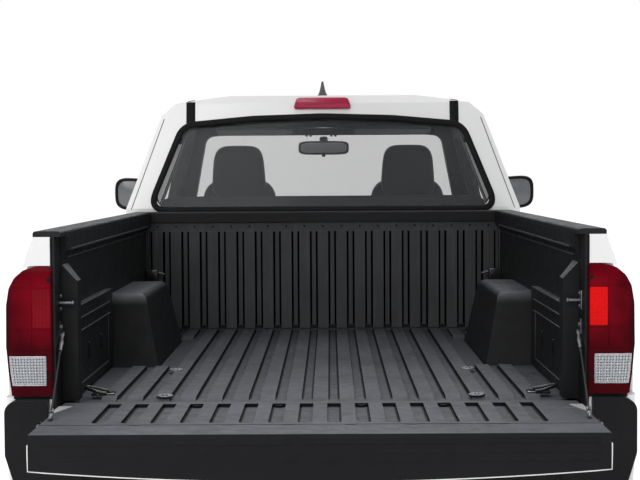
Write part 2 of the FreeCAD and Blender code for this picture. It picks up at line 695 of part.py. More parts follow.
def flare(name, axle_y, bottom):
    """The lip that stands out around a wheel arch on the right side."""
    outer = s.arch_radius + s.flare_width
    root = VECTOR(float(s.waist_half - s.flare_root), float(axle_y), float(s.tyre_radius))
    cone = Part.makeCone(float(outer), float(s.arch_radius + s.flare_width * HALF),
                         float(s.flare_stand + s.flare_root), root, X_AXIS)
    space = Part.makeCylinder(float(s.arch_radius), float(flare_half),
                              VECTOR(0, float(axle_y), float(s.tyre_radius)), X_AXIS)
    field = Part.makeBox(float(flare_half), float(total_length), float(s.roof_height),
                         VECTOR(0, -float(front_y), float(bottom)))
    return shaped(name, cone.cut(space).common(field))


gutter_skin = shaped("gutter_skin", nose_solid(s.hood_thick + s.seat_gap).cut(
    nose_solid(s.hood_thick + s.gutter_thick)))
gutter = common("hood_gutter", gutter_skin, block(
    "gutter_field", (s.hood_half - s.gutter_width, cowl_y + s.hood_front_gap, s.nose_height),
    (s.hood_half + s.door_gap * 2, hood_front_y - s.gutter_width, s.roof_height)))
inner_cab = shaped("inner_cab", cab_solid(s.front_panel_thick, s.front_panel_thick, s.front_panel_thick,
                                          s.rear_wall_thick, 0))
fender_outside = cut("fender_outside", fuse("fender_body", fender_wall,
                                            flare("front_flare", front_axle_y, s.flare_bottom)),
                     hood_opening, lamp_room, nose_room, bumper_room, arch, inner_cab)
fender = fuse("fender_form", fender_outside, gutter)
pair("front_fenders", fender)
fender_left = mirrored("fender_left_form", fender)

# Cab shell

cab_cutters = door_openings + [mirrored(f"{item.Name}_left", item) for item in door_openings]
under_cab = block("under_cab", (s.door_thick - s.sill_half, cab_rear_y - s.cut_overrun, 0),
                  (s.sill_half - s.door_thick, front_y, s.cab_floor_height - s.cab_floor_thick))
fender_strip = cut("fender_strip", block("fender_strip_field", (0, door_front_y + s.door_gap, s.door_bottom),
                                         (flare_half, front_y, s.waist_height)), inner_cab)
cab_shell_open = cut("cab_shell_open", cab_wall, windshield_opening, rear_opening, fender, fender_left, arch,
                     arch_left, fender_strip, mirrored("fender_strip_left", fender_strip), under_cab,
                     *cab_cutters)
leaves = []
leaf_in = s.rocker_half - s.door_thick + s.leaf_inset
for door_name, face_y, side in (("front", door_front_y, 1), ("access", door_rear_y, -1)):
    near_y = face_y + s.seat_gap * side
    far_y = face_y + (s.door_gap + s.leaf_depth) * side
    for index, leaf_z in enumerate((s.leaf_low, s.leaf_high)):
        leaf = block(f"{door_name}_leaf_{index}", (leaf_in, min(near_y, far_y), leaf_z),
                     (leaf_in + s.leaf_width, max(near_y, far_y), leaf_z + s.leaf_height))
        leaves += [leaf, mirrored(f"{door_name}_leaf_left_{index}", leaf)]
keep(fuse("cab_shell_form", cab_shell_open, *leaves), "cab_shell")
keep(common("windshield_form", glass_skin, windshield_pane), "windshield")
keep(common("rear_window_form", glass_skin, rear_pane), "rear_window")
cabin_half = s.sill_half - s.door_thick + s.floor_overhang
cabin_rear_y = cab_rear_y + s.rear_wall_thick
cabin_front_y = cowl_y - s.windshield_thick
floor_bottom = s.cab_floor_height - s.cab_floor_thick
keep(block("cab_floor_form", (-cabin_half, cabin_rear_y, floor_bottom),
           (cabin_half, cabin_front_y, s.cab_floor_height)), "cab_floor")

# Roof fittings

fin_y = front_axle_y - s.fin_setback
fin = prism("roof_antenna_form", "X", [
    (fin_y, s.roof_height - s.roof_fitting_sink), (fin_y + s.fin_length, s.roof_height - s.roof_fitting_sink),
    (fin_y + s.fin_tip * 2, s.roof_height + s.fin_height - s.fin_roof_drop),
    (fin_y + s.fin_tip, s.roof_height + s.fin_height - s.fin_roof_drop),
], -s.fin_width * HALF, s.fin_width * HALF)
keep(cut("roof_antenna_cut", fin, cab_filled), "roof_antenna")
brake_lamp = prism("brake_lamp_block", "Y", [
    (-s.brake_lamp_width * HALF, brake_lamp_centre - s.brake_lamp_height * HALF),
    (s.brake_lamp_width * HALF, brake_lamp_centre - s.brake_lamp_height * HALF),
    (s.brake_lamp_width * HALF - s.brake_lamp_depth, brake_lamp_centre + s.brake_lamp_height * HALF),
    (-s.brake_lamp_width * HALF + s.brake_lamp_depth, brake_lamp_centre + s.brake_lamp_height * HALF),
], cab_rear_y + s.rear_glass_lean - s.brake_lamp_depth, front_axle_y - s.roof_rear_setback)
keep(cut("high_brake_lamp_form", brake_lamp, cab_filled), "high_brake_lamp")

# Load bed

bed_outer_front_y = bed_front_y + s.bed_wall_thick
liner_outer_half = s.bed_half + s.liner_thick
floor_base = s.floor_top - s.rib_height
floor_under = floor_base - s.floor_thick


def bed_side_face():
    """The right bed side's section seen from the front."""
    return wire_shape([[(x, 0, z) for x, z in points] for points in [
        [(liner_outer_half, s.bed_side_bottom), (s.rocker_half, s.bed_side_bottom)],
        [(s.rocker_half, s.bed_side_bottom), (s.waist_half, s.waist_height), (s.rail_half, s.rail_height)],
        [(s.rail_half, s.rail_height), (liner_outer_half, s.rail_height)],
        [(liner_outer_half, s.rail_height), (liner_outer_half, s.bed_side_bottom)],
    ]])


bed_side_length = shaped("bed_side_length", along_y(bed_side_face(), rear_face_y, bed_outer_front_y))
bed_side_plan = prism("bed_side_plan", "Z", [
    (liner_outer_half, rear_face_y), (s.waist_half, rear_face_y), (s.waist_half, bed_outer_front_y),
    (liner_outer_half, bed_outer_front_y),
], s.bed_side_bottom, s.rail_height, (1,), s.bed_corner_round)
bed_side_blank = common("bed_side_blank", bed_side_length, bed_side_plan)
rear_arch = rod("rear_arch", s.arch_radius, flare_half, (s.well_foot_half, rear_axle_y, s.tyre_radius),
                X_AXIS)
tail_lamp_block = prism("tail_lamp_block", "Y", [
    (s.lamp_inner_half, s.lamp_low), (s.waist_half, s.lamp_low), (s.waist_half, s.lamp_high),
    (s.lamp_inner_half, s.lamp_high),
], rear_face_y - s.cut_overrun, rear_face_y + s.lamp_wrap, (2,), s.lamp_round + s.lamp_round * HALF)
tail_lamp = common("tail_lamp_form", bed_side_blank, tail_lamp_block)
pair("tail_lamps", tail_lamp)
bed_side = cut("bed_side_form", fuse("bed_side_body", bed_side_blank,
                                     flare("rear_flare", rear_axle_y, s.flare_bottom)),
               rear_arch, tail_lamp_block)
pair("bed_sides", bed_side)

well_rear_y = floor_edge_y + s.well_rear
well_front_y = floor_edge_y + s.well_front


def well_block(name, inset):
    """The right wheel well's bump, moved inwards by an inset."""
    top = s.floor_top + s.well_height - inset
    side = prism(f"{name}_side", "X", [
        (well_rear_y + inset, floor_under - inset), (well_front_y - inset, floor_under - inset),
        (well_front_y - s.well_front_lean - inset, top), (well_rear_y + s.well_lean + inset, top),
    ], s.well_foot_half - s.cut_overrun, s.bed_half, (2, 3), s.well_round)
    front = prism(f"{name}_front", "Y", [
        (s.well_foot_half + inset, floor_under - inset), (s.bed_half + inset, floor_under - inset),
        (s.bed_half + inset, top), (s.well_top_half + inset, top),
    ], well_rear_y, well_front_y, (3,), s.well_round * HALF)
    return common(name, side, front)


side_liner = prism("side_liner_wall", "Y", [
    (liner_outer_half, floor_under), (liner_outer_half, s.rail_height),
    (s.bed_half - s.ledge_depth, s.rail_height), (s.bed_half - s.ledge_depth, s.ledge_top),
    (s.bed_half, s.ledge_top - s.ledge_depth), (s.bed_half, floor_under),
], floor_edge_y, bed_front_y)
pin_hole = rod("pin_hole", s.gate_pin_radius + s.seat_gap, flare_half,
               (s.tailgate_half - s.gate_groove, gate_axis_y, gate_axis_z), X_AXIS)
rear_cheek = cut("rear_cheek", block("rear_cheek_blank", (s.cheek_half, rear_face_y, floor_under),
                                     (liner_outer_half, floor_edge_y, s.rail_height)), pin_hole)
post_plan = prism("post_plan", "Z", [
    (s.post_half, floor_edge_y), (s.bed_half, floor_edge_y),
    (s.bed_half, floor_edge_y + s.post_depth + s.post_depth * HALF),
    (s.post_half, floor_edge_y + s.post_depth),
], s.floor_top + s.seat_gap, s.rail_height)
post_face = prism("post_face", "Y", [
    (s.post_half, s.floor_top), (s.bed_half, s.floor_top), (s.bed_half, s.post_top),
    (s.post_half, s.post_top - s.post_slant),
], floor_edge_y, floor_edge_y + s.post_depth * 2)
rear_post = common("rear_post", post_plan, post_face)
low_shelf = block("low_shelf", (s.bed_half - s.lower_ledge_depth, floor_edge_y + s.post_depth,
                                s.floor_top + s.seat_gap), (s.bed_half, well_rear_y, s.lower_ledge))
well = cut("wheel_well", well_block("well_outside", 0), well_block("well_inside", s.well_wall))
bed_liner = fuse("bed_liner_body", side_liner, rear_cheek, rear_post, low_shelf, well)
bed_liner_cut = cut("bed_liner_form", bed_liner, rod("liner_arch", s.arch_radius, s.well_foot_half,
                                                     (s.bed_half, rear_axle_y, s.tyre_radius), X_AXIS))
pair("bed_side_liners", bed_liner_cut)

floor_half = s.bed_half - s.seat_gap
floor_plate = block("floor_plate", (-floor_half, floor_edge_y, floor_under),
                    (floor_half, bed_front_y, floor_base))
well_gap = block("well_gap", (s.well_foot_half - s.seat_gap, well_rear_y - s.seat_gap,
                              floor_under - s.cut_overrun),
                 (flare_half, well_front_y + s.seat_gap, s.floor_top + s.cut_overrun))
floor_ribs = []
rib_start_y = floor_edge_y + s.rib_rear_gap
rib_end_y = bed_front_y - s.rib_front_gap


def floor_rib(name, centre, start, end):
    """One raised rib with ramps at both ends."""
    return prism(name, "X", [
        (start, floor_base), (end, floor_base), (end - s.rib_ramp * HALF, s.floor_top),
        (start + s.rib_ramp, s.floor_top),
    ], centre - s.rib_width * HALF, centre + s.rib_width * HALF)


full_ribs = int((s.well_foot_half - s.rib_width * HALF) / s.rib_pitch)
all_ribs = int((s.post_half - s.rib_width * HALF) / s.rib_pitch)
for index in range(-all_ribs, all_ribs + 1):
    centre = s.rib_pitch * index
    if abs(index) <= full_ribs:
        floor_ribs.append(floor_rib(f"floor_rib_{index + all_ribs}", centre, rib_start_y, rib_end_y))
    else:
        floor_ribs.append(floor_rib(f"rear_rib_{index + all_ribs}", centre, rib_start_y,
                                    well_rear_y - s.rib_width * HALF))
        floor_ribs.append(floor_rib(f"front_rib_{index + all_ribs}", centre,
                                    well_front_y + s.rib_width * HALF, rib_end_y))
keep(cut("bed_floor_form", fuse("bed_floor_body", floor_plate, *floor_ribs), well_gap,
         mirrored("well_gap_left", well_gap)), "bed_floor")

wall_plate = block("wall_plate", (-floor_half, bed_front_y, floor_under),
                   (floor_half, bed_outer_front_y, s.bulkhead_height))
wall_ribs = []
wall_count = int((floor_half - s.rib_width * HALF) / s.rib_pitch)
for index in range(-wall_count, wall_count + 1):
    centre = s.rib_pitch * index
    wall_ribs.append(block(f"wall_rib_{index + wall_count}",
                           (centre - s.rib_width * HALF, bed_front_y - s.bulkhead_rib_depth, s.floor_top),
                           (centre + s.rib_width * HALF, bed_front_y, s.bulkhead_rib_top)))
keep(fuse("bed_front_wall_form", wall_plate, *wall_ribs), "bed_front_wall")

rail_top = s.rail_height + s.cap_height
rail_cap = prism("rail_cap", "Y", [
    (s.bed_half - s.ledge_depth, s.rail_height + s.seat_gap), (s.rail_half, s.rail_height + s.seat_gap),
    (s.rail_half, rail_top), (s.bed_half - s.ledge_depth, rail_top),
], rear_face_y, bed_outer_front_y, (2, 3), s.cap_height * HALF)
wall_cap_half = s.bed_half - s.ledge_depth - s.seat_gap
wall_cap = prism("wall_cap", "X", [
    (bed_front_y - s.bulkhead_rib_depth, s.bulkhead_height + s.seat_gap),
    (bed_outer_front_y, s.bulkhead_height + s.seat_gap), (bed_outer_front_y, rail_top),
    (bed_front_y - s.bulkhead_rib_depth, rail_top),
], -wall_cap_half, wall_cap_half, (2, 3), s.cap_height * HALF)
keep(group("rail_caps", rail_cap, mirrored("rail_cap_left", rail_cap), wall_cap), "bed_rail_caps")

# Tailgate, lying open level with the floor

gate_top = s.floor_top
gate_bottom = s.floor_top - s.tailgate_thick
gate_root_y = floor_edge_y - s.tailgate_gap
gate_split = gate_bottom + s.tailgate_skin
gate_plate = prism("gate_plate", "X", [
    (gate_end_y + s.tailgate_skin, gate_bottom), (gate_root_y, gate_bottom),
    (gate_root_y, gate_split), (gate_end_y + s.tailgate_skin, gate_split),
], -s.tailgate_half, s.tailgate_half)
gate_skirt = prism("gate_skirt", "X", [
    (gate_end_y + s.tailgate_skin, gate_bottom), (gate_root_y, gate_bottom),
    (gate_root_y, gate_top - s.gate_groove), (gate_end_y + s.tailgate_skin, gate_top - s.gate_groove),
], s.tailgate_half - s.gate_groove + s.seat_gap, s.tailgate_half, (2,), s.tailgate_axis_drop - s.gate_groove)
pin_root = s.tailgate_half - s.gate_groove * HALF
gate_pin = rod("gate_pin", s.gate_pin_radius, liner_outer_half - pin_root - s.seat_gap,
               (pin_root, gate_axis_y, gate_axis_z), X_AXIS)
gate_side = fuse("gate_side", gate_skirt, gate_pin)
keep(fuse("tailgate_shell_form", gate_plate, gate_side, mirrored("gate_side_left", gate_side)),
     "tailgate_shell")
cap_front_y = gate_end_y + s.tailgate_skin - s.seat_gap
gate_body = prism("gate_body", "X", [
    (gate_end_y, gate_bottom + s.gate_groove), (cap_front_y, gate_bottom + s.gate_groove),
    (cap_front_y, gate_split + s.seat_gap), (gate_root_y, gate_split + s.seat_gap),
    (gate_root_y, gate_top), (gate_end_y, gate_top),
], -s.tailgate_half + s.gate_groove, s.tailgate_half - s.gate_groove, (4,), s.tailgate_axis_drop)
gate_cutters = []
for index in range(int(s.pocket_count)):
    centre = s.rib_pitch * (index - (s.pocket_count - 1) * HALF)
    gate_cutters.append(prism(f"pocket_{index}", "Z", [
        (centre - s.pocket_width * HALF, gate_root_y - s.pocket_start - s.pocket_length),
        (centre + s.pocket_width * HALF, gate_root_y - s.pocket_start - s.pocket_length),
        (centre + s.pocket_width * HALF, gate_root_y - s.pocket_start),
        (centre - s.pocket_width * HALF, gate_root_y - s.pocket_start),
    ], gate_top - s.pocket_depth, gate_top + s.cut_overrun, (0, 1), s.pocket_width * s.pocket_round_share))
gate_cutters.append(block("gate_cap_groove",
                          (-s.tailgate_half, floor_edge_y - s.gate_groove_setback - s.gate_groove,
                           gate_top - s.gate_groove),
                          (s.tailgate_half, floor_edge_y - s.gate_groove_setback, gate_top + s.cut_overrun)))
keep(cut("tailgate_liner_form", gate_body, *gate_cutters), "tailgate_liner")
stay_start = VECTOR(float(s.cheek_half - s.stay_radius - s.seat_gap), float(floor_edge_y - s.stay_eye),
                    float(s.floor_top + s.stay_anchor_rise))
stay_end = VECTOR(float(s.tailgate_half - s.stay_eye * 2), float(gate_axis_y - s.stay_anchor_reach),
                  float(s.floor_top + s.stay_radius))
stay_run = stay_end - stay_start
stay = shaped("tailgate_stay", Part.makeCylinder(float(s.stay_radius), stay_run.Length, stay_start,
                                                 stay_run))
pair("tailgate_stays", stay)

# Rear bumper

bumper_outline = [
    (bumper_rear_y, s.bumper_low), (bumper_rear_y + s.bumper_depth, s.bumper_low),
    (bumper_rear_y + s.bumper_depth, s.bumper_step_top), (bumper_rear_y, s.bumper_step_top),
]
bumper_middle_half = s.bumper_corner_half + s.bumper_wall
bumper_middle = prism("bumper_middle", "X", bumper_outline, -bumper_middle_half, bumper_middle_half, (0, 3),
                      s.bumper_wall)
corner_high = s.bumper_corner_top
bumper_corner = prism("bumper_corner", "Y", [
    (s.bumper_corner_half, s.bumper_low), (s.bumper_half - s.bumper_taper, s.bumper_low),
    (s.bumper_half, s.bumper_low + s.bumper_taper_rise), (s.bumper_half, corner_high),
    (s.bumper_corner_half, corner_high),
], bumper_rear_y, rear_face_y, (2, 3), s.bumper_wall)
bed_room = block("bed_room", (liner_outer_half - s.seat_gap, rear_face_y - s.seat_gap,
                              s.bed_side_bottom - s.seat_gap), (flare_half, bed_front_y, s.rail_height))
step_under = s.bumper_step_top - s.bumper_wall
bumper_room_rear = block("bumper_hollow", (-s.bumper_corner_half, bumper_rear_y + s.bumper_wall, 0),
                         (s.bumper_corner_half, floor_edge_y + s.bumper_depth, step_under))
ball_hole = rod("ball_hole", s.ball_hole_radius, s.bumper_wall + s.cut_overrun * 2,
                (0, bumper_rear_y + s.bumper_depth * HALF, step_under - s.cut_overrun))
plate_holes = [rod(f"plate_hole_{index}", s.plate_hole_radius, s.bumper_wall + s.cut_overrun * 2,
                   (s.plate_hole_spacing * (index - HALF), bumper_rear_y - s.cut_overrun,
                    (s.bumper_low + s.bumper_step_top) * HALF), Y_AXIS) for index in range(2)]
keep(cut("rear_bumper_form", fuse("rear_bumper_body", bumper_middle, bumper_corner,
                                  mirrored("bumper_corner_left", bumper_corner)),
         bumper_room_rear, bed_room, mirrored("bed_room_left", bed_room), ball_hole, *plate_holes),
     "rear_bumper")

# Cabin


seat_foot = s.cab_floor_height + s.seat_gap


def seat(name, centre):
    """A front seat with its headrest."""
    seat_rear_y = front_axle_y - s.seat_setback
    half = s.seat_width * HALF
    cushion = prism(f"{name}_cushion", "X", [
        (seat_rear_y, seat_foot), (seat_rear_y + s.cushion_length, seat_foot),
        (seat_rear_y + s.cushion_length, s.cushion_top), (seat_rear_y, s.cushion_top),
    ], centre - half, centre + half)
    back = prism(f"{name}_back", "X", [
        (seat_rear_y, seat_foot), (seat_rear_y, s.cushion_top),
        (seat_rear_y - s.backrest_thick, s.backrest_top),
        (seat_rear_y - s.backrest_thick * 2, s.backrest_top), (seat_rear_y - s.backrest_thick, seat_foot),
    ], centre - half, centre + half)
    head_rear_y = seat_rear_y - s.backrest_thick * 2
    head_half = s.headrest_width * HALF
    head_low = headrest_top - s.headrest_height
    head = prism(f"{name}_head", "Y", [
        (centre - head_half, head_low), (centre + head_half, head_low), (centre + head_half, headrest_top),
        (centre - head_half, headrest_top),
    ], head_rear_y, head_rear_y + s.headrest_thick, (0, 1, 2, 3), s.headrest_round)
    post_y = head_rear_y + s.headrest_thick * HALF
    post_half = s.headrest_thick * HALF
    post = block(f"{name}_post", (centre - post_half, post_y - s.stay_eye, s.backrest_top - s.stay_eye),
                 (centre + post_half, post_y + s.stay_eye, head_low + s.stay_eye))
    shoulders = prism(f"{name}_shoulders", "Y", [
        (centre - half, s.cab_floor_height), (centre + half, s.cab_floor_height),
        (centre + half, s.backrest_top - s.shoulder_drop), (centre + half - s.shoulder_width, s.backrest_top),
        (centre - half + s.shoulder_width, s.backrest_top), (centre - half, s.backrest_top - s.shoulder_drop),
    ], head_rear_y, seat_rear_y)
    return fuse(name, cushion, common(f"{name}_back_form", back, shoulders), head, post)


pair("front_seats", seat("front_seat", s.seat_offset))
keep(prism("rear_bench_form", "X", [
    (cabin_rear_y + s.seat_gap, seat_foot), (cabin_rear_y + s.bench_thick * 3, seat_foot),
    (cabin_rear_y + s.bench_thick * 3, s.bench_top), (cabin_rear_y + s.bench_thick, s.bench_top),
    (cabin_rear_y + s.bench_thick, s.window_bottom - s.bench_thick),
    (cabin_rear_y + s.seat_gap, s.window_bottom - s.bench_thick),
], -s.bench_half, s.bench_half), "rear_bench")
steering_y = front_axle_y - s.steering_wheel_setback
steering_x = -s.seat_offset
lean = math.radians(float(s.steering_lean_degrees))
to_driver = VECTOR(0, -math.cos(lean), math.sin(lean))
dash_rear_y = cabin_front_y - s.dash_thick
dash_body = prism("dash_body", "X", [
    (dash_rear_y, s.dash_bottom), (cabin_front_y - s.seat_gap, s.dash_bottom),
    (cabin_front_y - s.seat_gap, s.dash_height - s.dash_slope), (dash_rear_y + s.dash_slope, s.dash_height),
    (dash_rear_y, s.dash_height - s.dash_slope),
], -cabin_half, cabin_half)
wheel_centre = VECTOR(float(steering_x), float(steering_y), float(s.steering_wheel_height))
column_start = wheel_centre - to_driver * float(s.steering_hub_thick * HALF + s.seat_gap)
column_length = float(dash_rear_y - steering_y)
column = shaped("steering_column", Part.makeCylinder(float(s.steering_hub_radius * HALF), column_length,
                                                     column_start, -to_driver))
keep(fuse("dashboard_form", dash_body, column), "dashboard")


def steering_wheel():
    """Rim, hub and three spokes, square to the column."""
    base = wheel_centre - to_driver * float(s.steering_hub_thick * HALF)
    rim_thick = float(s.steering_rim_radius)
    wheel = Part.makeTorus(float(s.steering_wheel_radius), rim_thick, wheel_centre, to_driver)
    hub = Part.makeCylinder(float(s.steering_hub_radius), float(s.steering_hub_thick), base, to_driver)
    wheel = wheel.fuse(hub)
    upright = to_driver.cross(X_AXIS)
    for direction in (X_AXIS, X_AXIS * -1, upright):
        spoke = Part.makeCylinder(rim_thick * HALF, float(s.steering_wheel_radius), wheel_centre, direction)
        wheel = wheel.fuse(spoke)
    return wheel


keep(shaped("steering_wheel_form", steering_wheel()), "steering_wheel")
mirror_low = cabin_mirror_centre - s.cabin_mirror_height * HALF
cabin_mirror_y = front_axle_y - s.cabin_mirror_setback
mirror_glass_y = windshield_y(cabin_mirror_centre, 0)
mirror_half = s.cabin_mirror_width * HALF
cabin_mirror = block("cabin_mirror_head", (-mirror_half, cabin_mirror_y - s.cabin_mirror_thick, mirror_low),
                     (mirror_half, cabin_mirror_y, mirror_low + s.cabin_mirror_height))
mirror_stem = rod("mirror_stem", s.mirror_stem_radius, mirror_glass_y - cabin_mirror_y,
                  (0, cabin_mirror_y - s.mirror_stem_radius, cabin_mirror_centre), Y_AXIS)
behind_glass = s.glass_inset + s.glass_thick + s.seat_gap
cabin_air = shaped("cabin_air", cab_solid(behind_glass, behind_glass, behind_glass, behind_glass,
                                          behind_glass))
cabin_mirror_body = fuse("cabin_mirror_body", cabin_mirror, mirror_stem)
keep(common("cabin_mirror_form", cabin_mirror_body, cabin_air), "cabin_mirror")

# Chassis

rail_inner = (s.rail_gauge - s.rail_width) * HALF
rail_outer = (s.rail_gauge + s.rail_width) * HALF
rail_low = floor_bottom - s.rail_depth
frame_front_y = front_axle_y + s.frame_nose
frame_rear_y = floor_edge_y + s.frame_tail
kick_y = bed_front_y - s.kick_setback
kick_top = floor_bottom + s.rail_kick
rail = prism("frame_rail", "X", [
    (frame_rear_y, rail_low + s.rail_kick), (kick_y, rail_low + s.rail_kick),
    (kick_y + s.rail_kick, rail_low), (frame_front_y, rail_low), (frame_front_y, floor_bottom),
    (kick_y + s.rail_kick, floor_bottom), (kick_y, kick_top), (frame_rear_y, kick_top),
], rail_inner, rail_outer)
frame_pieces = [rail, mirrored("frame_rail_left", rail)]
cross_half = rail_inner
cross_shares = (0.968, 0.63, 0.405, 0.118, 0.02)
for index, share in enumerate(cross_shares):
    cross_y = frame_rear_y + (frame_front_y - frame_rear_y) * share
    cross_top = kick_top if cross_y < kick_y else floor_bottom
    frame_pieces.append(block(f"cross_member_{index}", (-cross_half, cross_y, cross_top - s.cross_depth),
                              (cross_half, cross_y + s.cross_width, cross_top)))
sill_shares = (0.07, 0.4, 0.7, 1)
sill_reach = kick_y - s.cross_width * HALF - floor_edge_y
for index, share in enumerate(sill_shares):
    sill_y = floor_edge_y + sill_reach * share
    frame_pieces.append(block(f"bed_sill_{index}", (-s.sill_bar_half, sill_y, kick_top),
                              (s.sill_bar_half, sill_y + s.cross_width * HALF, floor_under)))
spring_inner = (s.spring_gauge - s.spring_width) * HALF
spring_low = s.tyre_radius + s.axle_radius
for index, side in enumerate((-1, 1)):
    hanger_y = rear_axle_y + s.spring_length * HALF * side
    hanger = block(f"hanger_{index}", (rail_outer, hanger_y - s.spring_thick, spring_low + s.spring_thick),
                   (spring_inner + s.spring_width, hanger_y + s.spring_thick, kick_top))
    frame_pieces.append(hanger)
    frame_pieces.append(mirrored(f"hanger_left_{index}", hanger))
arm_mount = block("arm_mount", (rail_inner, front_axle_y - s.arm_span * HALF, s.ball_joint_low - s.arm_thick),
                  (rail_outer, front_axle_y + s.arm_span * HALF, rail_low))
frame_pieces += [arm_mount, mirrored("arm_mount_left", arm_mount)]
bumper_mount = block("bumper_mount", (rail_inner, bumper_rear_y + s.bumper_wall, rail_low + s.rail_kick),
                     (rail_outer, frame_rear_y, kick_top - s.bumper_mount_drop))
frame_pieces += [bumper_mount, mirrored("bumper_mount_left", bumper_mount)]
nose_mount = block("nose_mount", (rail_inner, frame_front_y, rail_low),
                   (rail_outer, front_y - s.nose_mount_setback, floor_bottom))
nose_inside = shaped("nose_inside", nose_solid(s.front_panel_thick))
nose_mount_cut = common("nose_mount_form", nose_mount, nose_inside)
frame_pieces += [nose_mount_cut, mirrored("nose_mount_left", nose_mount_cut)]
keep(fuse("frame_form", *frame_pieces), "frame")

hub_face = wheel_half + s.wheel_dish - s.disc_thick
axle_end = hub_face - s.seat_gap
axle_tube = rod("axle_tube", s.axle_radius, axle_end * 2, (-axle_end, rear_axle_y, s.tyre_radius), X_AXIS)
differential = rod("differential", s.differential_radius, s.differential_radius + s.differential_radius * HALF,
                   (-s.differential_radius * (HALF + HALF * HALF), rear_axle_y, s.tyre_radius), X_AXIS)
spring = block("leaf_spring", (spring_inner, rear_axle_y - s.spring_length * HALF, spring_low),
               (spring_inner + s.spring_width, rear_axle_y + s.spring_length * HALF,
                spring_low + s.spring_thick))
saddle = block("spring_saddle", (spring_inner, rear_axle_y - s.axle_radius, s.tyre_radius),
               (spring_inner + s.spring_width, rear_axle_y + s.axle_radius, spring_low))
keep(fuse("rear_axle_form", axle_tube, differential, spring, saddle, mirrored("leaf_spring_left", spring),
          mirrored("spring_saddle_left", saddle)), "rear_axle")


def wishbone(name, low):
    """One arm from the frame rail out to the kingpin, lying flat."""
    tip = s.arm_tip * HALF
    root = s.arm_span * HALF
    return prism(name, "Z", [
        (rail_outer, front_axle_y - root), (s.kingpin_half + tip, front_axle_y - tip),
        (s.kingpin_half + tip, front_axle_y + tip), (rail_outer, front_axle_y + root),
    ], low, low + s.arm_thick)


low_arm = wishbone("low_arm", s.ball_joint_low - s.arm_thick - s.seat_gap)
high_arm = wishbone("high_arm", s.ball_joint_high + s.seat_gap)
spring_leg_x = (rail_outer + s.kingpin_half) * HALF - s.damper_radius
spring_leg = rod("spring_leg", s.damper_radius * 2, s.spring_leg_length,
                 (spring_leg_x, front_axle_y, s.ball_joint_low - s.arm_thick * HALF))
leg_top_z = s.ball_joint_low - s.arm_thick * HALF + s.spring_leg_length
leg_tower = block("leg_tower", (rail_outer, front_axle_y - s.damper_radius * 2, floor_bottom),
                  (spring_leg_x, front_axle_y + s.damper_radius * 2, leg_top_z))
pair("front_suspension", fuse("front_arms", low_arm, high_arm, spring_leg, leg_tower))

knuckle_reach = s.knuckle_thick * HALF
upright = block("knuckle_upright", (s.kingpin_half - knuckle_reach, front_axle_y - knuckle_reach,
                                    s.ball_joint_low),
                (s.kingpin_half + knuckle_reach, front_axle_y + knuckle_reach, s.ball_joint_high))
knuckle_hub = rod("knuckle_hub", s.hub_radius, axle_end - s.kingpin_half,
                  (s.kingpin_half, front_axle_y, s.tyre_radius), X_AXIS)
brake = rod("brake_disc", s.brake_disc_radius, s.brake_disc_thick,
            (s.kingpin_half + s.knuckle_thick, front_axle_y, s.tyre_radius), X_AXIS)
knuckle = fuse("knuckle_right_form", upright, knuckle_hub, brake)
keep(knuckle, "knuckle_right")
keep(mirrored("knuckle_left_form", knuckle), "knuckle_left")

engine_y = front_axle_y + s.engine_setback
gearbox_y = engine_y - s.engine_length * HALF
engine_half = s.engine_width * HALF
engine_box = block("engine_box", (-engine_half, gearbox_y, s.engine_bottom),
                   (engine_half, engine_y + s.engine_length * HALF, s.engine_bottom + s.engine_height))
keep(engine_box, "engine_block")
gearbox_end_y = gearbox_y - s.gearbox_length
gearbox = rod("gearbox", s.gearbox_radius, s.gearbox_length, (0, gearbox_end_y, s.tyre_radius), Y_AXIS)
drive_end_y = rear_axle_y + s.differential_radius
drive_shaft = rod("propeller_shaft", s.shaft_radius, gearbox_end_y - drive_end_y,
                  (0, drive_end_y, s.tyre_radius), Y_AXIS)
keep(fuse("drive_line_form", gearbox, drive_shaft), "drive_line")

exhaust_x = s.exhaust_offset
exhaust_z = floor_bottom - s.cross_depth - s.pipe_radius - s.seat_gap
muffler_y = cab_rear_y - s.muffler_length - s.muffler_radius
muffler_z = exhaust_z + s.pipe_radius
front_pipe = rod("front_pipe", s.pipe_radius, gearbox_y + s.muffler_radius - muffler_y - s.muffler_length,
                 (exhaust_x, muffler_y + s.muffler_length, exhaust_z), Y_AXIS)
muffler = rod("muffler", s.muffler_radius, s.muffler_length, (exhaust_x, muffler_y, muffler_z), Y_AXIS)
tail_pipe = rod("tail_pipe", s.pipe_radius, s.tail_pipe_length, (exhaust_x, muffler_y - s.tail_pipe_length,
                                                                  muffler_z + s.pipe_radius * 2), Y_AXIS)
keep(fuse("exhaust_form", front_pipe, muffler, tail_pipe), "exhaust")
tank_y = front_axle_y - s.tank_setback
keep(block("fuel_tank_form", (-rail_inner, tank_y - s.tank_length, floor_bottom - s.tank_height),
           (-rail_inner + s.tank_width, tank_y, floor_bottom - s.seat_gap)), "fuel_tank")

# Wheels


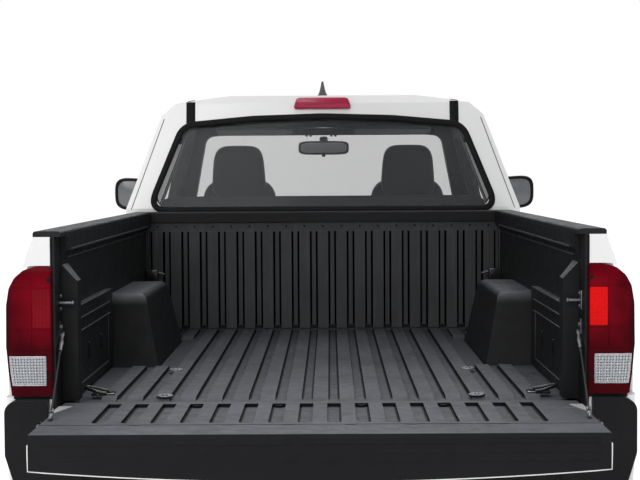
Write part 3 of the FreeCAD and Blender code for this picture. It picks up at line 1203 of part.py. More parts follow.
def tyre_outline():
    """Half the tyre's ring as place along the axle and radius."""
    half = s.tyre_width * HALF
    bead = s.rim_width * HALF - s.rim_lip - s.seat_gap
    seat_radius = s.rim_radius - s.bead_depth + s.seat_gap
    shoulder = s.tyre_radius - s.tyre_crown
    return [
        (-bead, seat_radius), (bead, seat_radius), (bead, s.rim_radius + s.seat_gap),
        (half - s.tyre_crown, s.rim_radius + s.tyre_shoulder), (half, (s.rim_radius + s.tyre_radius) * HALF),
        (half - s.tyre_crown, s.tyre_radius - s.tyre_shoulder), (half - s.tyre_shoulder, shoulder),
        (half * HALF, s.tyre_radius), (-half * HALF, s.tyre_radius),
        (s.tyre_shoulder - half, shoulder), (s.tyre_crown - half, s.tyre_radius - s.tyre_shoulder),
        (-half, (s.rim_radius + s.tyre_radius) * HALF), (s.tyre_crown - half, s.rim_radius + s.tyre_shoulder),
        (-bead, s.rim_radius + s.seat_gap),
    ]


def rim_outline():
    """The rim's barrel and disc as one ring, from the hub's hole outwards."""
    half = s.rim_width * HALF
    seat_radius = s.rim_radius - s.bead_depth
    inner = seat_radius - s.rim_wall
    face = s.wheel_dish
    return [
        (face - s.disc_thick, 0), (face, 0), (face, inner), (half, inner), (half, s.rim_radius),
        (half - s.rim_lip, s.rim_radius), (half - s.rim_lip, seat_radius),
        (s.rim_lip - half, seat_radius), (s.rim_lip - half, s.rim_radius), (-half, s.rim_radius),
        (-half, inner), (face - s.disc_thick, inner),
    ]


def wheel(label, axle_y):
    """A tyre and a spoked rim on the right side."""
    at = (wheel_half, axle_y, s.tyre_radius)
    tyre = turned(f"tyre_{label}_form", tyre_outline(), at)
    rim = turned(f"rim_{label}_blank", rim_outline(), at)
    holes = []
    for index in range(int(s.spoke_count)):
        angle = 2 * math.pi * index / s.spoke_count
        holes.append(rod(f"{label}_window_{index}", s.spoke_hole_radius, s.rim_width,
                         (wheel_half, axle_y + s.spoke_circle * HALF * math.cos(angle),
                          s.tyre_radius + s.spoke_circle * HALF * math.sin(angle)), X_AXIS))
    return tyre, cut(f"rim_{label}_form", rim, *holes)


for end_name, axle_y in (("front", front_axle_y), ("rear", rear_axle_y)):
    tyre, rim = wheel(end_name, axle_y)
    keep(tyre, f"tyre_{end_name}_right")
    keep(mirrored(f"tyre_{end_name}_mirror", tyre), f"tyre_{end_name}_left")
    keep(rim, f"rim_{end_name}_right")
    keep(mirrored(f"rim_{end_name}_mirror", rim), f"rim_{end_name}_left")

spare_y = rear_axle_y - s.spare_setback
spare_top = kick_top - s.cross_depth - s.seat_gap
keep(rod("spare_wheel_form", s.spare_radius, s.spare_width, (0, spare_y, spare_top - s.spare_width)),
     "spare_wheel")

# Front wheel liners

liner_ring = rod("liner_ring", s.arch_radius + s.liner_wall, s.waist_half - s.liner_inner_half,
                 (s.liner_inner_half, front_axle_y, s.tyre_radius), X_AXIS)
liner_field = block("liner_field", (0, door_front_y, s.flare_bottom + s.liner_wall * 2),
                    (s.waist_half, front_y, s.roof_height))
liner_bow = common("liner_bow", cut("liner_ring_open", liner_ring, arch), liner_field)
pair("wheel_liners", cut("wheel_liner_form", common("liner_inside", liner_bow, nose_inside), fender))

# Checking and writing out

doc.recompute()
for item in doc.Objects:
    if "Invalid" in item.State or "Error" in item.State:
        raise RuntimeError(f"{item.Name} did not build: {item.State}")
for piece in subparts:
    if piece.Shape.isNull() or not piece.Shape.isValid():
        raise RuntimeError(f"{piece.Label} has no valid shape")
os.makedirs("parts", exist_ok=True)
for piece in subparts:
    piece.Shape.exportStep(f"parts/{piece.Label}.step")
    box = piece.Shape.BoundBox
    print(f"{piece.Label}: {len(piece.Shape.Solids)} solids, {piece.Shape.Volume / 1e9:.4f} m3, "
          f"x {box.XMin:.0f} {box.XMax:.0f}, y {box.YMin:.0f} {box.YMax:.0f}, z {box.ZMin:.0f} {box.ZMax:.0f}")
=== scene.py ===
"""Pickup truck with its tailgate open: finishes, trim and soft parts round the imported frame."""
import math

import bmesh
import bpy
from mathutils import Matrix, Vector
from mathutils.bvhtree import BVHTree


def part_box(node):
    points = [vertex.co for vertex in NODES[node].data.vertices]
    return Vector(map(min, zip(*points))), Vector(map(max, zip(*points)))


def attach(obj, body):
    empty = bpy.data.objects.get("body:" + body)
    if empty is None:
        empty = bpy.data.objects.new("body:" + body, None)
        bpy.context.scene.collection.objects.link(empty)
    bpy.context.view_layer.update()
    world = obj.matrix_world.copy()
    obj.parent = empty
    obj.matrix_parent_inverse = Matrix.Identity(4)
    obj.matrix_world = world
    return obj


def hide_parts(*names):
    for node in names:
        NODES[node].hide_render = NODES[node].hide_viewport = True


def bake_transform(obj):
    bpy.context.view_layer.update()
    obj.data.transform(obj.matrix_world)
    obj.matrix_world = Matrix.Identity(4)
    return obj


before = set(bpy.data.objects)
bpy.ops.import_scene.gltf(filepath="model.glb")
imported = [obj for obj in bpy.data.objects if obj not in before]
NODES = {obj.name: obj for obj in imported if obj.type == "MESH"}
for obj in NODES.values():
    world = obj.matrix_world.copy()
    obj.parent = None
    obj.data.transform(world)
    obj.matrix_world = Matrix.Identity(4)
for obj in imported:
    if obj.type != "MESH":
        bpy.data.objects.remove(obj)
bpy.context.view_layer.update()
SCENE = bpy.context.scene

# Camera, as the photograph's vanishing point and known sizes give it

IMAGE_WIDTH = 640
FOCAL_PIXELS = 1387.0
SENSOR = 36.0
CAMERA_TURN = (87.3, 0.35, 0.4)

camera_data = bpy.data.cameras.new("camera")
camera_data.sensor_width = SENSOR
camera_data.lens = FOCAL_PIXELS / IMAGE_WIDTH * SENSOR
camera_data.clip_end = 200
camera = bpy.data.objects.new("camera", camera_data)
camera.location = (0.03, -6.3065, 1.433)
camera.rotation_euler = [math.radians(angle) for angle in CAMERA_TURN]
SCENE.collection.objects.link(camera)
SCENE.camera = camera


# Materials


class Nodes:
    """A material's node tree, built up call by call."""

    def __init__(self, name):
        self.material = bpy.data.materials.new(name)
        self.material.use_nodes = True
        self.tree = self.material.node_tree
        self.tree.nodes.clear()
        output = self.make("OutputMaterial")
        self.shader = self.make("BsdfPrincipled")
        self.tree.links.new(self.shader.outputs[0], output.inputs[0])
        coordinates = self.make("TexCoord")
        self.place, self.facing = coordinates.outputs["Object"], coordinates.outputs["Normal"]

    def fill(self, socket, value):
        """Set a socket to a number or colour, or link another socket to it."""
        if isinstance(value, bpy.types.NodeSocket):
            self.tree.links.new(value, socket)
        elif isinstance(value, tuple) and len(socket.default_value) == 4:
            socket.default_value = (*value, 1.0)
        else:
            socket.default_value = value

    def make(self, kind, **inputs):
        """A new node with some of its sockets filled."""
        node = self.tree.nodes.new(f"ShaderNode{kind}")
        for key, value in inputs.items():
            self.fill(node.inputs[key.replace("_", " ")], value)
        return node

    def stretched(self, scale):
        """Object coordinates with a scale for each axis."""
        return self.make("Mapping", Vector=self.place, Scale=scale).outputs[0]

    def noise(self, scale, detail=3.0, rough=0.5, vector=None, distortion=0.0):
        return self.make("TexNoise", Vector=vector or self.place, Scale=scale, Detail=detail, Roughness=rough,
                         Distortion=distortion).outputs[0]

    def cells(self, scale, vector=None, randomness=1.0):
        return self.make("TexVoronoi", Vector=vector or self.place, Scale=scale,
                         Randomness=randomness).outputs[0]

    def waves(self, scale, axis, distortion):
        node = self.make("TexWave", Vector=self.place, Scale=scale, Distortion=distortion)
        node.bands_direction = axis
        return node.outputs[1]

    def spread(self, value, low, high, start=0.35, end=0.65):
        """A value's range from start to end turned into another range."""
        return self.make("MapRange", Value=value, From_Min=start, From_Max=end, To_Min=low,
                         To_Max=high).outputs[0]

    def patches(self, low, high, scale, detail=3.0, rough=0.5, start=0.35, end=0.65):
        """Noise spread between two values."""
        return self.spread(self.noise(scale, detail, rough), low, high, start, end)

    def ramp(self, value, stops):
        node = self.make("ValToRGB", Fac=value)
        points = node.color_ramp.elements
        while len(points) < len(stops):
            points.new(0.5)
        for point, (at, colour) in zip(points, stops):
            point.position = at
            point.color = (*colour, 1.0)
        return node.outputs[0]

    def mottled(self, colour, dark, light, scale, detail, rough=0.5, start=0.3, end=0.7):
        """A colour that drifts between a darker and a lighter shade of itself."""
        return self.ramp(self.noise(scale, detail, rough),
                         [(start, shade(colour, dark)), (end, shade(colour, light))])

    def over(self, base, colour, *shares):
        """A colour laid over a base by the product of the shares."""
        share = shares[0]
        for other in shares[1:]:
            share = self.maths("MULTIPLY", share, other)
        node = self.make("Mix")
        node.data_type = "RGBA"
        for index, value in ((0, share), (6, base), (7, colour)):
            self.fill(node.inputs[index], value)
        return node.outputs[2]

    def maths(self, kind, first, second=0.0):
        node = self.make("Math")
        node.operation = kind
        self.fill(node.inputs[0], first)
        self.fill(node.inputs[1], second)
        return node.outputs[0]

    def facing_up(self, start=0.4, end=0.95):
        """How level a surface lies, from its normal in the row frame."""
        parts = self.make("SeparateXYZ", Vector=self.make("NewGeometry").outputs["Normal"])
        return self.spread(parts.outputs[2], 0.0, 1.0, start, end)

    def split(self, axis):
        """One of the object coordinates."""
        return self.make("SeparateXYZ", Vector=self.place).outputs["XYZ".index(axis)]

    def bump(self, height, distance, strength, under=None):
        """A bump, over another one if given."""
        node = self.make("Bump", Height=height, Distance=distance, Strength=strength)
        if under is not None:
            self.fill(node.inputs["Normal"], under)
        return node.outputs[0]

    def done(self, colour, rough, normal=None, **others):
        """Fill the shader's sockets and give the material."""
        for key, value in {"Base Color": colour, "Roughness": rough, "Normal": normal, **others}.items():
            if value is not None:
                self.fill(self.shader.inputs[key.replace("_", " ")], value)
        return self.material


def shade(colour, factor):
    return tuple(min(1.0, part * factor) for part in colour)


def dusty_paint(n, colour):
    """Body colour with a little dust low down."""
    tone = n.mottled(colour, 0.975, 1.01, 1.7, 4)
    low_down = n.spread(n.split("Z"), 1.0, 0.0, 0.45, 0.95)
    return n.over(tone, (0.50, 0.46, 0.40), low_down, n.patches(0.0, 0.22, 22, 6))


def paint(name, colour):
    """Gloss body paint with a faint orange peel."""
    n = Nodes(name)
    peel = n.bump(n.noise(260, 2), 0.0002, 0.12)
    return n.done(dusty_paint(n, colour), n.patches(0.16, 0.26, 9, 5), peel, Coat_Weight=0.8,
                  Coat_Roughness=0.04, Specular_IOR_Level=0.5)


def cab_paint(name, colour, inside):
    """Body paint outside; grained plastic where a face looks towards the cabin's middle."""
    n = Nodes(name)
    offset = n.make("VectorMath")
    offset.operation = "SUBTRACT"
    n.fill(offset.inputs[0], n.place)
    n.fill(offset.inputs[1], CABIN_MIDDLE)
    outward = n.make("VectorMath")
    outward.operation = "DOT_PRODUCT"
    n.fill(outward.inputs[0], offset.outputs[0])
    n.fill(outward.inputs[1], n.facing)
    share = n.spread(outward.outputs["Value"], 1.0, 0.0, -0.06, -0.02)
    tone = n.over(dusty_paint(n, colour), n.mottled(inside, 0.8, 1.3, 300, 3), share)
    rough = n.maths("ADD", n.patches(0.14, 0.22, 9, 5), n.maths("MULTIPLY", share, 0.5))
    return n.done(tone, rough, n.bump(n.noise(260, 2), 0.0002, 0.12))


def plastic(name, colour, rough, grain, grain_scale, dust, dust_colour, coat=0.0, variation=0.18, shine=0.25):
    """Moulded plastic with a fine grain, lighter where dust and wear lie."""
    n = Nodes(name)
    tone = n.mottled(colour, 1 - variation, 1 + variation, 5, 6, 0.6, 0.25, 0.75)
    tone = n.over(tone, shade(colour, 2.1), n.patches(0.0, 1.0, 420, 3, 0.5, 0.42, 0.72), 0.28)
    tone = n.over(tone, dust_colour, n.facing_up(), n.patches(0.1 * dust, dust, 7, 8, 0.65, 0.3, 0.7))
    roughness = n.patches(rough - 0.07, rough + 0.09, 30, 5)
    normal = n.bump(n.cells(grain_scale), grain, 0.55, n.bump(n.noise(60, 4), 0.0008, 0.12))
    return n.done(tone, roughness, normal, Coat_Weight=coat, Coat_Roughness=0.12, Specular_IOR_Level=shine)


def bed_composite(name, colour):
    """Pebbled composite of the bed's walls, streaked across, with dust and a painted sheen where it lies
    level.
    """
    n = Nodes(name)
    tone = n.mottled(colour, 0.8, 1.3, 4, 7, 0.65, 0.25, 0.75)
    streaks = n.noise(34, 6, 0.7, n.stretched((1.0, 1.0, 0.06)))
    tone = n.over(tone, shade(colour, 2.4), n.spread(streaks, 0.0, 0.4, 0.52, 0.75))
    tone = n.over(tone, shade(colour, 3.2), n.patches(0.0, 0.3, 480, 2, 0.5, 0.5, 0.75))
    # Level faces take a pale blue-grey bloom: partly dust, partly a painted sheen of light
    tone = n.over(tone, (0.095, 0.1, 0.112), n.facing_up(), n.patches(0.3, 0.8, 7, 8, 0.65, 0.3, 0.7))
    normal = n.bump(n.cells(620), 0.0006, 0.6, n.bump(n.noise(45, 5), 0.001, 0.15))
    return n.done(tone, n.patches(0.38, 0.55, 24, 6), normal, Specular_IOR_Level=0.2)


def load_floor(name, colour):
    """The load floor: pebbled composite with scuffs; level faces take dust and a painted sheen, painted
    brighter towards the tailgate, and painted shade darkens the grooves and every face that does not lie
    level.
    """
    n = Nodes(name)
    level = n.facing_up(0.5, 0.98)
    # near rises towards the tailgate: it paints the level bloom brighter there, painted light
    near = n.spread(n.split("Y"), 0.25, 1.0, -0.7, -2.3)
    tone = n.mottled(colour, 0.8, 1.25, 3.1, 8, 0.65, 0.25, 0.75)
    scuffs = n.noise(38, 6, 0.7, n.stretched((1.0, 0.035, 1.0)), 0.4)
    tone = n.over(tone, (0.045, 0.047, 0.052), level, n.spread(scuffs, 0.0, 0.5, 0.52, 0.72))
    crossing = n.noise(60, 5, 0.6, n.stretched((0.12, 1.0, 1.0)))
    tone = n.over(tone, (0.04, 0.042, 0.046), level, n.spread(crossing, 0.0, 0.25, 0.58, 0.75))
    # Level faces take a pale blue-grey bloom: partly dust, partly a painted sheen of light at a grazing angle
    tone = n.over(tone, (0.124, 0.130, 0.147), level, near, n.patches(0.4, 0.8, 5.5, 8, 0.7, 0.3, 0.7))
    tone = n.over(tone, (0.14, 0.145, 0.16), level, n.patches(0.0, 0.25, 520, 2, 0.5, 0.5, 0.75), near)
    # Painted shade: darker low down in the grooves between the ribs
    groove = n.spread(n.split("Z"), 0.0, 0.25, 0.7895, 0.7815)
    tone = n.over(tone, shade(colour, 0.4), level, groove)
    # Painted shade: faces that do not lie level, such as the sides of the ribs, are darker
    tone = n.over(tone, shade(colour, 0.35), n.maths("SUBTRACT", 0.75, level))
    normal = n.bump(n.cells(620), 0.0007, 0.7, n.bump(n.noise(45, 5), 0.0012, 0.2))
    return n.done(tone, n.patches(0.42, 0.6, 24, 6), normal, Specular_IOR_Level=0.18)


def metal(name, colour, rough, brushed=(1.0, 1.0, 1.0), dirt=0.15, dirt_colour=(0.06, 0.05, 0.045)):
    """Bare metal, brushed along the axes where the scale is small, with patches of dirt."""
    n = Nodes(name)
    tone = n.over(n.mottled(colour, 0.85, 1.08, 14, 5), dirt_colour,
                  n.patches(0.0, dirt, 33, 8, 0.7, 0.5, 0.75))
    streaks = n.noise(240, 3, 0.5, n.stretched(brushed))
    return n.done(tone, n.spread(streaks, rough - 0.08, rough + 0.12), n.bump(streaks, 0.0002, 0.25),
                  Metallic=1.0)


def painted_steel(name, colour, rough, rust):
    """Chassis paint with road dust and a little rust."""
    n = Nodes(name)
    tone = n.mottled(colour, 0.7, 1.4, 6, 6)
    tone = n.over(tone, (0.12, 0.055, 0.025), n.patches(0.0, rust, 19, 9, 0.75, 0.52, 0.7))
    tone = n.over(tone, (0.17, 0.15, 0.125), n.facing_up(0.0, 0.9), 0.35)
    return n.done(tone, n.patches(rough - 0.1, rough + 0.2, 40, 5), n.bump(n.noise(120, 5), 0.0008, 0.4))


def rubber(name, colour):
    """Tyre rubber with dry dirt."""
    n = Nodes(name)
    tone = n.mottled(colour, 0.8, 1.3, 9, 6)
    tone = n.over(tone, (0.105, 0.095, 0.08), n.patches(0.0, 0.5, 26, 8, 0.7, 0.5, 0.8))
    return n.done(tone, n.patches(0.62, 0.85, 60, 4), n.bump(n.noise(300, 4), 0.0003, 0.5))


def cloth(name, colour, weave=900):
    """Woven seat fabric with a heathered thread colour."""
    n = Nodes(name)
    thread = n.maths("MULTIPLY", n.waves(weave * 0.16, "X", 0.6), n.waves(weave * 0.16, "Z", 0.6))
    tone = n.over(n.mottled(colour, 0.7, 1.5, 700, 3), shade(colour, 1.8),
                  n.spread(thread, 0.0, 0.4, 0.2, 0.8))
    tone = n.over(tone, shade(colour, 0.6), n.patches(0.0, 0.25, 4, 5))
    normal = n.bump(thread, 0.0006, 0.6, n.bump(n.noise(18, 4), 0.002, 0.2))
    return n.done(tone, n.patches(0.8, 0.95, 40, 3), normal, Sheen_Weight=0.35, Sheen_Roughness=0.5)


def glass(name, colour, opacity):
    """Thin tinted glass: part clear, part gloss, with faint smears."""
    n = Nodes(name)
    tone = n.mottled(colour, 0.94, 1.04, 1.3, 3)
    return n.done(tone, n.patches(0.10, 0.15, 6, 6, 0.7), Specular_IOR_Level=0.18, Alpha=opacity)


def lamp_lens(name, colour):
    """Clear lamp plastic that light passes through, with moulded optics inside."""
    n = Nodes(name)
    normal = n.bump(n.cells(160.0, n.stretched((1.0, 0.05, 1.0)), 0.0), 0.0018, 0.5)
    return n.done(n.mottled(colour, 0.85, 1.0, 11, 4), n.patches(0.02, 0.07, 20, 3), normal,
                  Transmission_Weight=1.0, IOR=1.45, Coat_Weight=1.0, Coat_Roughness=0.02)


def cut_cells(name, colour, rough):
    """The small bright cells of a lamp's clear section."""
    n = Nodes(name)
    cells = n.cells(300.0, n.stretched((1.0, 0.02, 1.0)), 0.0)
    tone = n.ramp(cells, [(0.0, shade(colour, 1.25)), (0.45, colour), (0.8, shade(colour, 0.25))])
    return n.done(tone, n.patches(rough, rough + 0.1, 50, 3), n.bump(cells, 0.001, 0.9), Metallic=0.25)


def chrome(name, dark, light):
    """Bright plated metal."""
    n = Nodes(name)
    tone = n.ramp(n.noise(20, 4), [(0.3, dark), (0.7, light)])
    return n.done(tone, n.patches(0.08, 0.2, 45, 5), n.bump(n.noise(90, 3), 0.0002, 0.2), Metallic=1.0)


def lamp_red(name, colour, deep):
    """Red lamp plastic: cloudy, with a painted glow brighter inboard high up, deeper low down, in bands and
    at its edges.
    """
    n = Nodes(name)
    bands = n.waves(30.0, "Z", 0.4)
    height, aside = n.split("Z"), n.maths("ABSOLUTE", n.split("X"))
    tone = n.over(colour, deep, n.patches(0.0, 0.8, 13, 3, 0.5, 0.38, 0.66))
    tone = n.over(tone, deep, n.spread(bands, 0.0, 0.16, 0.3, 0.9))
    tone = n.over(tone, deep, n.spread(height, 0.65, 0.0, 0.93, 1.05))
    # Painted glow of light inside the lamp: brighter red inboard and high up
    tone = n.over(tone, shade(colour, 1.9), n.spread(aside, 0.75, 0.0, 0.775, 0.850),
                  n.spread(height, 0.0, 1.0, 0.95, 1.05), n.spread(height, 1.0, 0.2, 1.11, 1.17))
    tone = n.over(tone, shade(deep, 0.5), n.spread(aside, 0.0, 0.85, 0.854, 0.876))
    tone = n.over(tone, shade(deep, 0.5), n.spread(aside, 0.9, 0.0, 0.7465, 0.7535))
    return n.done(tone, n.patches(0.16, 0.24, 30, 3), n.bump(bands, 0.0003, 0.15), Specular_IOR_Level=0.03)


CABIN_MIDDLE = (0.0, 0.45, 1.02)
WHITE = (0.81, 0.80, 0.785)
M = {
    "paint": paint("body_paint", WHITE),
    "cab": cab_paint("cab_paint", WHITE, (0.018, 0.018, 0.019)),
    # The side liners and the front wall are one composite in two tones: the liners painted darker, painted
    # shade, and the front wall painted lighter, painted light
    "liner": bed_composite("bed_composite", (0.0060, 0.0062, 0.0068)),
    "wall": bed_composite("bed_wall_composite_painted_lit", (0.043, 0.0434, 0.0450)),
    "floor": load_floor("bed_floor_composite", (0.0082, 0.0086, 0.0096)),
    "glow": lamp_red("lamp_red_moulding", (0.125, 0.0012, 0.006), (0.042, 0.0006, 0.003)),
    "tint": glass("tinted_glass", (0.125, 0.128, 0.132), 0.21),
    "clear": glass("clear_glass", (0.30, 0.33, 0.32), 0.16),
    "screen": glass("windshield_glass", (0.30, 0.34, 0.33), 0.12),
    "clear_lens": lamp_lens("lamp_clear_lens", (0.93, 0.94, 0.95)),
    "cut_clear": cut_cells("lamp_cut_cells", (0.50, 0.51, 0.53), 0.2),
    "cut_groove": cut_cells("lamp_cut_grooves", (0.11, 0.11, 0.115), 0.3),
    "tyre": rubber("tyre_rubber", (0.022, 0.022, 0.023)),
    "rim": metal("rim_silver", (0.50, 0.505, 0.51), 0.34, dirt=0.25),
    "exhaust": metal("exhaust_steel", (0.34, 0.31, 0.27), 0.5, (1.0, 0.2, 1.0), 0.5, (0.13, 0.07, 0.04)),
    "cable": metal("cable_steel", (0.045, 0.045, 0.047), 0.5, (1.0, 1.0, 6.0), 0.3),
    "disc": metal("brake_disc", (0.42, 0.41, 0.40), 0.28, dirt=0.4, dirt_colour=(0.16, 0.08, 0.04)),
    "zinc": metal("dull_zinc", (0.24, 0.24, 0.25), 0.42, dirt=0.4),
    "chrome": chrome("zinc_plate", (0.62, 0.63, 0.64), (0.74, 0.75, 0.76)),
    "steel": painted_steel("chassis_paint", (0.022, 0.022, 0.024), 0.5, 0.25),
    "cast": painted_steel("cast_iron", (0.11, 0.11, 0.112), 0.6, 0.4),
    "fabric": cloth("seat_fabric", (0.017, 0.0175, 0.0185)),
    "fabric_side": cloth("seat_side_fabric", (0.016, 0.016, 0.017), 1200),
    "headliner": cloth("headliner", (0.085, 0.085, 0.082), 1500),
    "carpet": cloth("carpet", (0.035, 0.035, 0.037), 500),
}

# Plastics: name, colour, roughness, grain height and scale, dust and its colour, coat, variation, shine

PLASTICS = {
    # shadow is painted shade: black laid in grooves, gaps, notches and holes
    "shadow": ("groove_black", (0.0015, 0.0015, 0.0016), 0.8, 0.0002, 500, 0.0, (0.01, 0.01, 0.01), 0.0, 0.2,
               0.0),
    "trim": ("black_trim", (0.0062, 0.0062, 0.0070), 0.48, 0.0004, 900, 0.35, (0.07, 0.073, 0.08), 0.0, 0.18,
             0.13),
    "rail": ("rail_composite", (0.0125, 0.0126, 0.0135), 0.48, 0.0004, 900, 0.35, (0.075, 0.078, 0.085), 0.0,
             0.18, 0.15),
    "gloss": ("black_gloss", (0.012, 0.012, 0.013), 0.2, 0.0001, 900, 0.08, (0.06, 0.06, 0.06), 0.6),
    "seal": ("seal_rubber", (0.0055, 0.0055, 0.0058), 0.45, 0.0002, 700, 0.05, (0.04, 0.04, 0.04), 0.0, 0.18,
             0.1),
    # bead is a lighter copy of the liner composite: a painted highlight along the beads
    "bead": ("liner_bead", (0.026, 0.027, 0.030), 0.4, 0.0002, 700, 0.2, (0.1, 0.1, 0.11), 0.0, 0.18, 0.3),
    "cabin": ("cabin_plastic", (0.020, 0.0205, 0.0215), 0.55, 0.0004, 700, 0.12, (0.05, 0.05, 0.05), 0.0,
              0.18, 0.15),
    "mirror": ("mirror_glass", (0.135, 0.14, 0.145), 0.22, 0.00005, 90, 0.0, (0.3, 0.3, 0.3), 0.25, 0.06,
               0.4),
    "fin": ("antenna_grey", (0.085, 0.088, 0.086), 0.5, 0.0002, 700, 0.2, (0.2, 0.2, 0.2)),
    "plate": ("blank_plate", (0.70, 0.70, 0.69), 0.35, 0.0001, 500, 0.1, (0.5, 0.5, 0.48), 0.3, 0.06),
    "lamp_white": ("lamp_white", (0.78, 0.79, 0.80), 0.12, 0.0002, 180, 0.0, (0.8, 0.8, 0.8), 1.0, 0.1),
    "lamp_amber": ("lamp_amber", (0.75, 0.22, 0.02), 0.14, 0.0003, 180, 0.0, (0.6, 0.3, 0.1), 1.0, 0.2),
    "brake_red": ("brake_lamp_red", (0.36, 0.008, 0.05), 0.16, 0.0005, 240, 0.02, (0.4, 0.1, 0.1), 0.3),
    "glow_lit": ("lamp_red_lit", (0.62, 0.006, 0.006), 0.3, 0.0002, 180, 0.0, (0.5, 0.02, 0.02), 0.0, 0.3,
                 0.05),
    "glow_bright": ("lamp_red_bright", (0.170, 0.004, 0.009), 0.3, 0.0002, 180, 0.0, (0.3, 0.02, 0.02), 0.0,
                    0.45, 0.05),
}
M.update({key: plastic(*row) for key, row in PLASTICS.items()})

ENDS = ("front", "rear")
SIDES = (("right", 1), ("left", -1))
NODE_MATERIALS = {
    "paint": ["hood", "front_fenders", "bed_sides", "tailgate_shell"],
    "cab": ["cab_shell", "front_door_right", "front_door_left", "access_door_right", "access_door_left"],
    "clear": ["front_door_glass_right", "front_door_glass_left"],
    "screen": ["windshield"],
    "tint": ["access_door_glass_right", "access_door_glass_left", "rear_window"],
    "trim": ["door_mirror_right", "door_mirror_left", "grille", "front_bumper", "rear_bumper",
             "roof_antenna", "wheel_liners", "fuel_tank"],
    "floor": ["bed_floor", "tailgate_liner"],
    "liner": ["bed_side_liners"],
    "rail": ["bed_rail_caps"],
    "wall": ["bed_front_wall"],
    "clear_lens": ["headlamps"],
    "glow": ["tail_lamps"],
    "brake_red": ["high_brake_lamp"],
    "cable": ["tailgate_stays"],
    "cabin": ["dashboard", "cabin_mirror", "steering_wheel"],
    "carpet": ["cab_floor"],
    "fabric": ["front_seats", "rear_bench"],
    "steel": ["frame", "front_suspension"],
    "cast": ["rear_axle", "knuckle_right", "knuckle_left", "engine_block", "drive_line"],
    "exhaust": ["exhaust"],
    "tyre": ["spare_wheel"] + [f"tyre_{end}_{side}" for end in ENDS for side, _ in SIDES],
    "rim": [f"rim_{end}_{side}" for end in ENDS for side, _ in SIDES],
}
for key, names in NODE_MATERIALS.items():
    for name in names:
        mesh = NODES[name].data
        mesh.materials.clear()
        mesh.materials.append(M[key])

# Shapes

TURN = 2 * math.pi
AXES = {"X": Matrix(((0, 0, 1), (1, 0, 0), (0, 1, 0))), "Y": Matrix(((1, 0, 0), (0, 0, 1), (0, 1, 0))),
        "Z": Matrix.Identity(3)}
STRIP_SECTION = ((-0.5, 0.0), (-0.5, 0.55), (-0.365, 0.95), (0.0, 1.0), (0.365, 0.95), (0.5, 0.55),
                 (0.5, 0.0))


def aligned(axis):
    """The matrix that lays (first, second, along) by an axis, which is a letter or a direction."""
    if axis in AXES:
        return AXES[axis]
    return Vector(axis).normalized().to_track_quat("Z", "Y").to_matrix()


def headings(points, closed):
    """The direction of a path at each of its points."""
    found = []
    for index, point in enumerate(points):
        before = points[index - 1] if index or closed else point
        after = points[(index + 1) % len(points)] if index < len(points) - 1 or closed else point
        found.append((after - before).normalized())
    return found


def soften(made, reach, steps):
    """Round every edge of a mesh."""
    if reach > 0:
        bmesh.ops.bevel(made, geom=list(made.edges), offset=reach, segments=steps, profile=0.5,
                        affect="EDGES", clamp_overlap=True)


def superellipse(angle, width, height, power):
    """A point of a rounded rectangle; a higher power is squarer."""
    c, s = math.cos(angle), math.sin(angle)
    return math.copysign(abs(c) ** (2 / power), c) * width, math.copysign(abs(s) ** (2 / power), s) * height


def oval(width, height, power, steps, middle=(0.0, 0.0)):
    """A whole superellipse round a middle; power 2 is an ellipse."""
    points = [superellipse(TURN * k / steps, width, height, power) for k in range(steps)]
    return [(middle[0] + u, middle[1] + v) for u, v in points]


def circle(radius, steps, flat=1.0, lag=0.0):
    """Points round a circle, squeezed by flat and turned by lag."""
    angles = [TURN * k / steps + lag for k in range(steps)]
    return [(radius * math.cos(angle), radius * flat * math.sin(angle)) for angle in angles]


def arc(middle, radius, start, end, steps):
    """Points of a flat arc, in degrees."""
    angles = [math.radians(start + (end - start) * k / steps) for k in range(steps + 1)]
    return [(middle[0] + radius * math.cos(angle), middle[1] + radius * math.sin(angle)) for angle in angles]


def evenly(start, end, parts):
    """Numbers from start to end in even parts, both ends in."""
    return [start + (end - start) * k / parts for k in range(parts + 1)]


def rounded(corners, radii, steps=6):
    """A closed outline whose corners are rounded."""
    points = []
    for index, (corner, radius) in enumerate(zip(corners, radii)):
        here = Vector(corner)
        before = (Vector(corners[index - 1]) - here).normalized()
        after = (Vector(corners[(index + 1) % len(corners)]) - here).normalized()
        reach = radius / math.tan(before.angle(after) / 2)
        start, end = here + before * reach, here + after * reach
        for share in evenly(0.0, 1.0, steps):
            points.append(tuple((1 - share) ** 2 * start + 2 * share * (1 - share) * here + share ** 2 * end))
    return points


def panel(low, high, radius, steps):
    """A rectangle between two corners, with its corners rounded."""
    corners = [low, (high[0], low[1]), high, (low[0], high[1])]
    return rounded(corners, [radius] * 4, steps)


def dense(outline, step=0.03):
    """The outline with more points on its long runs."""
    points = []
    for index, point in enumerate(outline):
        start, end = Vector(point), Vector(outline[(index + 1) % len(outline)])
        parts = max(1, int((end - start).length / step))
        points += [tuple(start + (end - start) * (k / parts)) for k in range(parts)]
    return points


